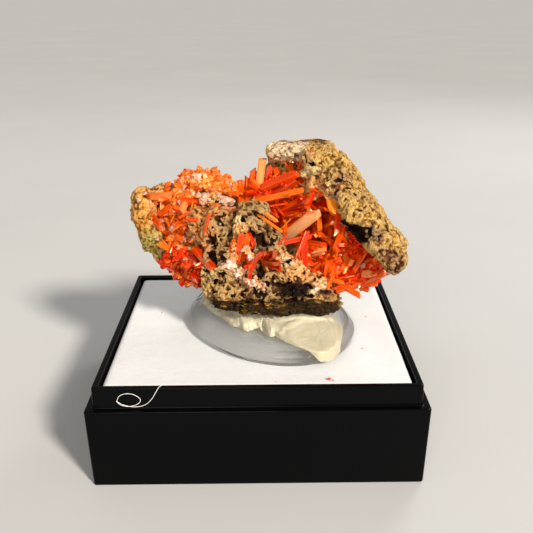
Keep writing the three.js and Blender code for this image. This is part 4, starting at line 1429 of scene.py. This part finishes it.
def bed_mesh(lumps):
    """The rough floor of intergrown crystal that a crust's prisms stand on."""
    at = np.array([place for place, _ in lumps])
    size = np.array([size for _, size in lumps])
    field = Field((at - size).min(0), (at + size).max(0), BED_VOXEL, BED_BAND)
    where, points = field.everywhere()
    shape = np.full(len(points), 9.0, np.float32)
    for place, extent in lumps:
        shape = blend_min(shape, ellipsoid(points, place, extent), SOFT_JOIN)
    near = np.abs(shape) < BED_RELIEF
    facets, _, pick = cell_distances(points[near], 1.1, 71)
    shape[near] += 0.9 * facets - 0.45 + 0.7 * (pick - 0.4)
    field.values[where] = np.clip(shape, -BED_BAND, BED_BAND)
    return field.surface(LEAST_HEAP)


def search_tree(vertices, faces):
    return BVHTree.FromPolygons(vertices.tolist(), faces.tolist())


# The crusts: name, bed, crystals that show, linings, cover, room, and how far forward, in y,
# small crystals may reach.
CRUSTS = [
    ("main_hollow", MAIN_BED, MAIN_CRYSTALS, MAIN_LINING, MAIN_COVER, MAIN_ROOM, -8),
    ("left_hollow", LEFT_BED, LEFT_CRYSTALS, LEFT_LINING, LEFT_COVER, LEFT_ROOM, -4.5),
    ("left_underside", UNDERSIDE_BED, UNDERSIDE_CRYSTALS, UNDERSIDE_LINING, UNDERSIDE_COVER,
     UNDERSIDE_ROOM, -6.5),
    ("front_pores", PORE_BED, PORE_CRYSTALS, PORE_LINING, PORE_COVER, PORE_ROOM, -11),
]


def crocoite_crusts(rocks):
    rock_trees = [search_tree(positions(rock.data), triangles(rock.data)) for rock in rocks]
    material = crocoite()
    red = crystal_bed("crocoite_bed", RED_BED, 0.25)
    orange = crystal_bed("drusy_bed", ORANGE_BED, 0.8)
    for seed, (name, bed, rows, lining, cover, room, front) in enumerate(CRUSTS):
        vertices, faces = bed_mesh(bed)
        floor = mesh_object("crocoite_bed_" + name, vertices, faces)
        finish_piece(floor, orange if name == "left_hollow" else red)
        tree = search_tree(vertices, faces)
        walls = [*rock_trees, tree]
        crystals = Crystals(seed + 100)
        for foot, tip, width, pale in rows:
            crystals.prism(rooted(foot, tip, walls), tip, width, pale, facing=BROAD_SIDE)
        shown = [(foot, tip, width / 2) for foot, tip, width, pale in rows
                 if pale > SHOWN_PALE and width > SHOWN_WIDTH]
        shown = tuple(np.array(column) for column in zip(*shown)) if shown else NONE_SHOWN
        crystals.lining(lining, walls, room, front, shown)
        crystals.cover(tree, vertices, faces, room, front, shown, cover)
        piece = crystals.build("crocoite_crystals_" + name)
        finish_piece(piece, material, ["crocoite_" + name])


# ---- coated knobs ---------------------------------------------------------------------

# Knobs with a pale coating: place, size, and how much orange shows through.
KNOBS = [
    ((-11.0, 1.4, 46.3), (1.2, 1.2, 1.2), 0.0),
    ((-12.6, 2.4, 45.9), (1.1, 1.1, 1.0), 0.4),
    ((-7.6, 3.2, 46.9), (1.3, 1.2, 1.1), 0.7),
    ((-11.4, 3.0, 44.2), (1.6, 1.3, 1.3), 0.7),
    ((-9.0, 1.6, 44.6), (1.3, 1.0, 1.0), 0.3),
    ((-8.4, 2.6, 46.0), (1.2, 1.0, 0.9), 0.9),
    ((-10.6, 2.4, 45.6), (1.0, 0.9, 0.9), 0.5),
    ((-14.8, 3.0, 44.6), (1.0, 1.0, 1.0), 0.7),
    ((-13.6, 1.4, 44.2), (0.9, 0.9, 1.0), 0.3),
    ((-6.4, 1.8, 43.8), (1.1, 0.9, 0.9), 0.8),
    ((-4.4, 1.6, 44.0), (0.9, 0.8, 0.8), 0.6),
    ((-16.6, -1.8, 31.2), (0.9, 0.8, 0.8), 0.9),
    ((-14.0, -3.2, 28.6), (0.9, 0.8, 0.8), 0.8),
    ((-12.4, -3.6, 27.4), (0.9, 0.8, 0.7), 0.9),
    ((-15.6, -2.2, 29.0), (0.8, 0.7, 0.7), 0.9),
    ((-17.2, -0.8, 32.0), (0.8, 0.7, 0.7), 0.8),
    ((-9.7, 3.2, 47.0), (1.4, 1.2, 1.0), 0.5),
    ((-5.7, 2.8, 45.9), (1.2, 1.1, 0.9), 0.8),
    ((-7.2, 1.2, 42.9), (1.1, 1.0, 0.9), 0.3),
    ((-1.9, -8.3, 35.6), (0.8, 0.7, 1.3), 0.3),
    ((-4.1, -7.8, 36.0), (0.7, 0.7, 1.2), 0.4),
    ((-2.9, -7.5, 37.4), (0.7, 0.6, 0.7), 0.5),
    ((0.6, -9.4, 28.9), (1.4, 1.0, 0.9), 0.0),
    ((-9.6, -0.6, 42.8), (1.6, 1.4, 1.7), 0.1),
    ((-13.7, 1.2, 39.8), (0.9, 1.0, 1.8), 0.0),
    ((-5.5, 1.2, 42.0), (2.0, 1.3, 1.1), 0.05),
    ((-5.2, 0.9, 40.3), (1.7, 1.2, 1.2), 0.5),
    ((-5.0, -8.2, 32.3), (1.6, 1.3, 2.0), 0.0),
    ((-3.4, -8.0, 30.7), (1.5, 1.2, 1.4), 0.1),
    ((-1.3, -8.3, 34.2), (1.0, 0.9, 1.8), 0.1),
    ((-0.8, -9.3, 29.4), (1.6, 1.2, 1.3), 0.1),
    ((-4.0, -7.2, 33.8), (0.8, 0.8, 1.9), 0.5),
    ((16.2, -4.0, 36.5), (0.8, 0.8, 1.0), 0.2),
    ((19.5, -4.6, 30.9), (0.9, 0.8, 0.9), 0.2),
    ((10.9, -9.9, 28.9), (1.1, 0.8, 1.4), 0.3),
    ((-12.0, 2.2, 43.6), (1.3, 1.2, 1.3), 0.3),
    ((-12.2, 1.8, 41.6), (1.1, 1.0, 1.2), 0.1),
    ((-14.4, 0.4, 42.0), (0.8, 0.8, 1.0), 0.3),
    ((-11.6, 2.6, 45.0), (1.5, 1.5, 1.3), 0.5),
    ((-9.2, 2.4, 45.6), (1.8, 1.6, 1.5), 0.8),
    ((-6.8, 2.4, 44.9), (1.6, 1.4, 1.3), 0.7),
    ((-8.0, 1.4, 44.0), (1.5, 1.2, 1.1), 0.6),
    ((-14.2, 2.4, 45.6), (0.9, 0.9, 1.0), 0.6),
    ((-5.0, 1.8, 45.3), (0.9, 0.9, 1.0), 0.4),
    ((-18.2, 3.6, 42.7), (0.9, 0.9, 0.8), 0.4),
    ((-19.2, 2.8, 41.2), (0.8, 0.8, 0.6), 0.5),
    ((-22.0, 0.6, 42.5), (0.7, 0.6, 0.5), 0.1),
    ((-20.8, 1.4, 43.6), (0.6, 0.6, 0.6), 0.0),
    ((-17.9, 1.6, 38.1), (1.3, 0.8, 0.6), 0.2),
    ((-17.8, 0.6, 36.6), (0.8, 0.6, 0.5), 0.2),
    ((-18.6, -0.4, 35.2), (0.7, 0.6, 0.8), 0.2),
    ((-16.0, 1.2, 36.4), (0.9, 0.7, 0.8), 0.3),
    ((-14.0, -0.1, 35.0), (1.0, 0.8, 0.9), 0.2),
    ((-14.7, -0.2, 33.3), (1.1, 0.8, 0.9), 0.2),
    ((-17.6, 0.6, 33.8), (0.7, 0.6, 0.8), 0.4),
    ((-16.6, -0.6, 32.9), (1.1, 0.8, 0.6), 0.4),
    ((-10.7, -2.6, 36.0), (0.6, 0.6, 0.9), 0.3),
    ((-9.8, -4.0, 35.2), (0.6, 0.6, 0.7), 0.3),
    ((-13.4, -2.4, 31.7), (0.9, 0.8, 0.9), 0.3),
    ((-15.0, -2.6, 30.2), (0.6, 0.6, 0.5), 0.4),
    ((-11.4, -3.9, 31.2), (0.5, 0.5, 0.9), 0.3),
    ((-12.2, 0.4, 34.6), (0.8, 0.8, 0.8), 0.4),
]


KNOB_VOXEL = 0.15
KNOB_BAND = 0.6
KNOB_BEADS = 22                  # in each heap


def coated_knobs():
    """Small irregular heaps of drusy grains, each a cluster of unequal beads."""
    random = np.random.default_rng(7)
    at = np.array([place for place, _, _ in KNOBS])
    field = Field(at.min(0) - 2, at.max(0) + 2, KNOB_VOXEL, KNOB_BAND)
    for place, size, _ in KNOBS:
        place, size = np.array(place), np.array(size) * 0.9
        part, points = field.window(place, size + 1.2)
        bent = points + 0.25 * np.stack(
            [smooth_noise(points / 0.8, 201 + axis) for axis in range(3)], -1)
        heap = ellipsoid(bent, place, size * 0.62)
        for _ in range(KNOB_BEADS):
            way = random.normal(size=3)
            spot = place + size * way / np.linalg.norm(way) * random.uniform(0.45, 0.95)
            radius = random.uniform(0.12, 0.40) * size.mean()
            heap = blend_min(heap, np.linalg.norm(bent - spot, axis=1) - radius, 0.08)
        grain, _, _ = cell_distances(points, 0.4, 9)
        heap = heap + 0.5 * (grain - 0.15) + 0.10 * rough_noise(points, 0.9, 2, 8)
        block = field.values[part]
        heap = heap.reshape(block.shape)
        field.values[part] = np.clip(np.minimum(block, heap), -KNOB_BAND, KNOB_BAND)
    piece = mesh_object("pale_coated_knobs", *field.surface(LEAST_HEAP))
    points = positions(piece.data)
    near = np.full(len(points), 9.0)
    amount = np.zeros(len(points))
    for place, size, orange in KNOBS:
        gap = ellipsoid(points, place, size)
        amount = np.where(gap < near, orange, amount)
        near = np.minimum(near, gap)
    set_mask(piece, "bare", amount)
    return finish_piece(piece, pale_coating())


# ---- putty ----------------------------------------------------------------------------

# The putty's edge on the stand, anticlockwise from above, with the tongue that was thumbed
# down over the stand's front edge.
PUTTY_EDGE = [
    (-11.4, 6.0), (-10.8, 2.5), (-9.4, -0.6), (-8.2, -2.7), (-6.3, -5.6), (-4.7, -8.3),
    (-3.2, -9.4), (-1.8, -10.7), (0.1, -9.2), (1.3, -11.6), (2.4, -13.4), (3.1, -13.0),
    (4.8, -15.4), (7.3, -18.0), (8.8, -19.0), (10.4, -19.7), (12.0, -19.6), (13.4, -18.3),
    (14.6, -15.9), (15.3, -12.6), (15.5, -9.4), (14.8, -6.0), (13.4, -3.0), (12.0, 1.0),
    (9.0, 4.5), (3.0, 6.8), (-4.0, 7.6), (-9.0, 8.0),
]
PUTTY_VOXEL = 0.15
PUTTY_BAND = 0.8
PUTTY_REACH = 6                  # of its grid above the stand
PUTTY_HANG = 18.6                # how low the tongue hangs over the stand's front edge,
PUTTY_HANG_LESS = 1.8            # how much higher the rest ends,
PUTTY_HANG_FROM = 10.8           # and where the tongue's low end starts, in x
PUTTY_LIP = 1.1                  # thickness just inside its edge
PUTTY_SLOPE = 0.62               # rise for each millimetre further in
PUTTY_FOLDS = [                  # creases: start, end, radius
    ((-0.9, -5.2, 24.0), (2.2, -13.6, 21.7), 0.30),
    ((0.8, -5.2, 24.2), (3.9, -13.2, 22.1), 0.32),
    ((-2.4, -4.2, 24.0), (-1.3, -11.0, 21.7), 0.28),
    ((11.0, -8.1, 23.4), (15.2, -13.4, 21.9), 0.26),
    ((-6.6, -3.6, 24.2), (-5.0, -8.2, 21.6), 0.22),
    ((-3.6, -4.6, 24.0), (-3.4, -9.0, 21.7), 0.18),
]
PUTTY_RIDGES = [                 # the same for what stands up between them
    ((-1.8, -4.6, 23.0), (0.4, -9.0, 21.5), 0.6),
    ((0.2, -5.4, 23.0), (2.6, -12.4, 21.4), 0.6),
    ((-3.2, -5.6, 22.8), (-2.4, -9.8, 21.3), 0.5),
    ((1.8, -6.4, 22.8), (4.2, -13.4, 21.3), 0.5),
    ((5.2, -12.6, 21.9), (8.0, -10.6, 22.5), 0.4),
    ((8.0, -10.6, 22.5), (13.2, -9.8, 22.2), 0.4),
]


def putty_rise(points, depth):
    """The putty's height above the stand at each point, from how far inside its edge."""
    x, y = points[:, 0], points[:, 1]
    round_edge = np.sqrt(np.clip(1 - (1 - np.clip(depth / 0.9, 0, 1)) ** 2, 0, 1))
    rise = PUTTY_LIP * round_edge + PUTTY_SLOPE * np.clip(depth - 0.6, 0, 99)
    under_rock = 2.8 + 2.0 * np.clip(-(x + 4) / 5, 0, 1) + 0.35 * np.clip(y + 8, 0, 5)
    rise = blend_min(rise, under_rock, 0.6)
    tongue = 2.3 + 0.25 * np.clip(y + 11, -99, 0) - 0.3 * np.exp(
        -((x - 10.2) / 2.6) ** 2 - ((y + 15) / 3.4) ** 2)
    tongue += 4 * np.clip((y + 11) / 2, 0, 1) + 4 * np.clip((4 - x) / 2, 0, 1)
    return blend_min(rise, np.maximum(tongue, 0.15 * round_edge), 0.4)


def polygon_depth(points, corners):
    """How far each (x, y) is inside a closed outline, and below zero outside it."""
    corners = np.asarray(corners, np.float32)
    nearest = np.full(len(points), 99.0, np.float32)
    inside = np.zeros(len(points), bool)
    for a, b in zip(corners, np.roll(corners, -1, 0)):
        edge = b - a
        along = np.clip((points - a) @ edge / (edge @ edge), 0, 1)
        nearest = np.minimum(nearest, np.linalg.norm(points - a - along[:, None] * edge, axis=1))
        crosses = (a[1] > points[:, 1]) != (b[1] > points[:, 1])
        with np.errstate(divide="ignore", invalid="ignore"):
            at = a[0] + (points[:, 1] - a[1]) * edge[0] / edge[1]
        inside ^= crosses & (points[:, 0] < at)
    return np.where(inside, nearest, -nearest)


def oval_distance(points, grow=0.0):
    """About how far each point is outside the clear stand."""
    c, s = math.cos(OVAL_TURN), math.sin(OVAL_TURN)
    x, y = points[:, 0] - OVAL_CENTRE[0], points[:, 1] - OVAL_CENTRE[1]
    flat = np.stack([c * x + s * y, -s * x + c * y, np.zeros_like(x)], -1)
    side = ellipsoid(flat, (0, 0, 0), (OVAL_WIDTH / 2, OVAL_LENGTH / 2, 1.0))
    height = np.abs(points[:, 2] - (INSERT_TOP + OVAL_THICKNESS / 2)) - OVAL_THICKNESS / 2
    corner = (side + height + OVAL_BEVEL) / math.sqrt(2)
    return np.maximum(np.maximum(side, height), corner) - grow


def mounting_putty():
    edge = np.array(PUTTY_EDGE)
    low = (*(edge.min(0) - 0.5), INSERT_TOP)
    high = (*(edge.max(0) + 0.5), OVAL_TOP + PUTTY_REACH)
    field = Field(low, high, PUTTY_VOXEL, PUTTY_BAND)
    where, points = field.everywhere()
    depth = polygon_depth(points[:, :2], PUTTY_EDGE)
    left = np.clip((4.0 - points[:, 0]) / 1.5, 0, 1)
    depth = depth + left * (0.30 * smooth_noise(points / 1.1, 84) - 0.1)
    top = OVAL_TOP + putty_rise(points, depth)
    shape = np.maximum(0.75 * (points[:, 2] - top), -0.9 * depth)
    hang = PUTTY_HANG + PUTTY_HANG_LESS * np.clip((PUTTY_HANG_FROM - points[:, 0]) / 2, 0, 1)
    shape = np.maximum(shape, hang - points[:, 2])
    for start, end, radius in PUTTY_RIDGES:
        shape = blend_min(shape, rod(points, start, end, radius), 0.9)
    torn = np.exp(-((points[:, 0] - 0.4 + 0.28 * (points[:, 1] + 9)) / 2.6) ** 2)
    torn = np.maximum(torn, 0.45 * left)
    along = np.stack([1.5 * (points[:, 0] + 0.28 * points[:, 1]), 0.22 * points[:, 1],
                      0.5 * points[:, 2]], -1)
    shape += torn * 0.55 * (np.abs(smooth_noise(along, 83)) - 0.25)
    shape += torn * 0.22 * (np.abs(smooth_noise(2.2 * along, 85)) - 0.25)
    for start, end, radius in PUTTY_FOLDS:
        shape = -blend_min(-shape, rod(points, start, end, radius), 0.3)
    shape = shape + 0.10 * rough_noise(points, 3.2, 3, 81) + 0.04 * rough_noise(points, 0.9, 2, 82)
    shape = np.maximum(shape, -oval_distance(points))
    field.values[where] = np.clip(shape, -PUTTY_BAND, PUTTY_BAND)
    piece = mesh_object("cream_putty", *field.surface())
    return finish_piece(piece, putty(), ["mounting_putty"])


# ---- dust, crumbs and the fibre -------------------------------------------------------

# The white fibre's course, curled over the box's front left edge.
FIBRE = [
    (-23.0, -27.6, 15.9), (-22.6, -27.5, 16.7), (-21.5, -27.45, 17.1), (-20.2, -27.45, 16.9),
    (-19.2, -27.5, 16.1), (-19.6, -27.6, 15.3), (-21.0, -27.7, 14.9), (-22.4, -27.7, 15.2),
    (-23.1, -27.6, 15.9), (-22.3, -27.5, 15.2), (-20.4, -27.5, 14.7), (-18.6, -27.5, 15.0),
    (-17.4, -27.45, 16.0), (-16.6, -27.4, 17.3), (-15.9, -27.0, 18.2), (-14.6, -26.4, 18.25),
]
FIBRE_RADIUS = 0.05
CRUMBS = [                       # place, size, and redness: 0 is pale, 1 deep orange
    ((11.9, -24.1, 17.75), 0.32, 1.0),
    ((12.6, -24.4, 17.6), 0.16, 1.0),
    ((-14.0, -21.5, 17.6), 0.12, 0.0),
    ((19.0, -12.0, 17.6), 0.16, 0.6),
    ((21.5, 3.0, 17.6), 0.14, 0.8),
    ((-19.5, 6.0, 17.6), 0.15, 0.7),
    ((3.0, -24.6, 17.6), 0.1, 0.4),
]


def tube(path, radius, sides=6, steps=5):
    """A thin tube along a smooth curve through the path's points."""
    path = [Vector(p) for p in path]
    ends = [2 * path[0] - path[1], *path, 2 * path[-1] - path[-2]]
    line = []
    for a, b, c, d in zip(ends, ends[1:], ends[2:], ends[3:]):
        for i in range(steps):
            t = i / steps
            line.append(0.5 * (2 * b + (c - a) * t + (2 * a - 5 * b + 4 * c - d) * t ** 2
                               + (3 * b - a - 3 * c + d) * t ** 3))
    line.append(path[-1])
    rings = []
    for before, here, after in zip([line[0], *line], line, [*line[1:], line[-1]]):
        along = (after - before).normalized()
        side = along.cross(Vector((0, 1, 0.3))).normalized()
        up = along.cross(side)
        rings.append([tuple(here + radius * (side * math.cos(TAU * i / sides)
                                             + up * math.sin(TAU * i / sides)))
                      for i in range(sides)])
    return skin(rings)


def dirt():
    """A lint fibre on the rim, and crumbs of the specimen on the insert."""
    fibre = mesh_object("lint_fibre", *tube(FIBRE, FIBRE_RADIUS))
    finish_piece(fibre, lint_fibre())
    random = np.random.default_rng(3)
    vertices, faces, pale = [], [], []
    for place, size, redness in CRUMBS:
        ball = bpy.data.meshes.new("crumb")
        shape = bmesh.new()
        bmesh.ops.create_icosphere(shape, subdivisions=2, radius=1.0)
        shape.to_mesh(ball)
        shape.free()
        points = np.array([v.co for v in ball.vertices])
        points *= 1 + 0.45 * smooth_noise(points * 1.7 + random.uniform(0, 50), 3)[:, None]
        points = points * (size, size * 0.8, size * 0.6) + place
        start = sum(len(v) for v in vertices)
        faces += [[start + i for i in p.vertices] for p in ball.polygons]
        vertices.append(points)
        pale.append(np.full(len(points), 1 - redness))
        bpy.data.meshes.remove(ball)
    crumbs = mesh_object("specimen_crumbs", np.concatenate(vertices), faces, smooth=False)
    set_mask(crumbs, "pale", 0.45 + 0.5 * np.concatenate(pale))
    grain = crumbs.data.attributes.new("grain", "FLOAT_VECTOR", "POINT")
    grain.data.foreach_set("vector", np.concatenate(vertices).astype(np.float32).ravel())
    finish_piece(crumbs, crocoite("crocoite_crumbs"))


# ---- stage ----------------------------------------------------------------------------

# The camera, fitted to the box's edges: its place, lens, and turns in radians.
CAMERA_PLACE = (0.8511, -142.8256, 78.9934)
CAMERA_LENS = 53.52
CAMERA_YAW = 0.0063
CAMERA_PITCH = 0.3348
CAMERA_ROLL = -0.0066
FLOOR_HALF_M = 12.0
SPECIMEN_M = (0.0, 0.0, 0.035)   # what the soft lights look at
STUDIO_COLOUR = (0.86, 0.85, 0.84, 1)
STUDIO_STRENGTH = 0.34


def camera():
    data = bpy.data.cameras.new("camera")
    data.lens = CAMERA_LENS
    data.sensor_width = 36
    data.clip_start = 0.01
    data.clip_end = 100
    eye = bpy.data.objects.new("camera", data)
    eye.matrix_world = (
        Matrix.Translation(Vector(CAMERA_PLACE) * MM)
        @ Matrix.Rotation(-CAMERA_YAW, 4, "Z")
        @ Matrix.Rotation(math.pi / 2 - CAMERA_PITCH, 4, "X")
        @ Matrix.Rotation(CAMERA_ROLL, 4, "Z"))
    bpy.context.scene.collection.objects.link(eye)
    bpy.context.scene.camera = eye


def light(name, kind, energy, colour, toward, **settings):
    """A lamp that shines from the side that toward points to."""
    data = bpy.data.lights.new(name, kind)
    data.energy = energy
    data.color = colour
    for key, value in settings.items():
        setattr(data, key, value)
    lamp = bpy.data.objects.new(name, data)
    lamp.rotation_euler = Vector(toward).to_track_quat("Z", "Y").to_euler()
    bpy.context.scene.collection.objects.link(lamp)
    return lamp


def softbox(name, place_m, size_m, watts, colour):
    """A round soft light that looks at the specimen."""
    toward = Vector(place_m) - Vector(SPECIMEN_M)
    lamp = light(name, "AREA", watts, colour, toward, shape="DISK", size=size_m)
    lamp.location = place_m


def stage():
    h = FLOOR_HALF_M / MM
    floor = mesh_object("floor", [(-h, -h, 0), (h, -h, 0), (h, h, 0), (-h, h, 0)], [(0, 1, 2, 3)])
    floor.data.materials.append(pale_floor())
    light("key", "SUN", 4.6, (1.0, 0.93, 0.83), (0.48, -0.72, 0.54), angle=math.radians(8))
    softbox("front_fill", (-0.10, -0.52, 0.20), 0.26, 1.4, (1.0, 0.95, 0.88))
    softbox("rim", (0.22, 0.30, 0.30), 0.16, 0.5, (1.0, 1.0, 1.0))
    world = bpy.data.worlds.new("studio")
    world.use_nodes = True
    background = world.node_tree.nodes["Background"]
    background.inputs["Color"].default_value = STUDIO_COLOUR
    background.inputs["Strength"].default_value = STUDIO_STRENGTH
    bpy.context.scene.world = world
    bpy.context.scene.view_settings.view_transform = "Standard"


# ---- the whole ------------------------------------------------------------------------

camera()
stage()
box_base()
foam_insert()
clear_oval()
crocoite_crusts(matrix_rock())
coated_knobs()
mounting_putty()
dirt()
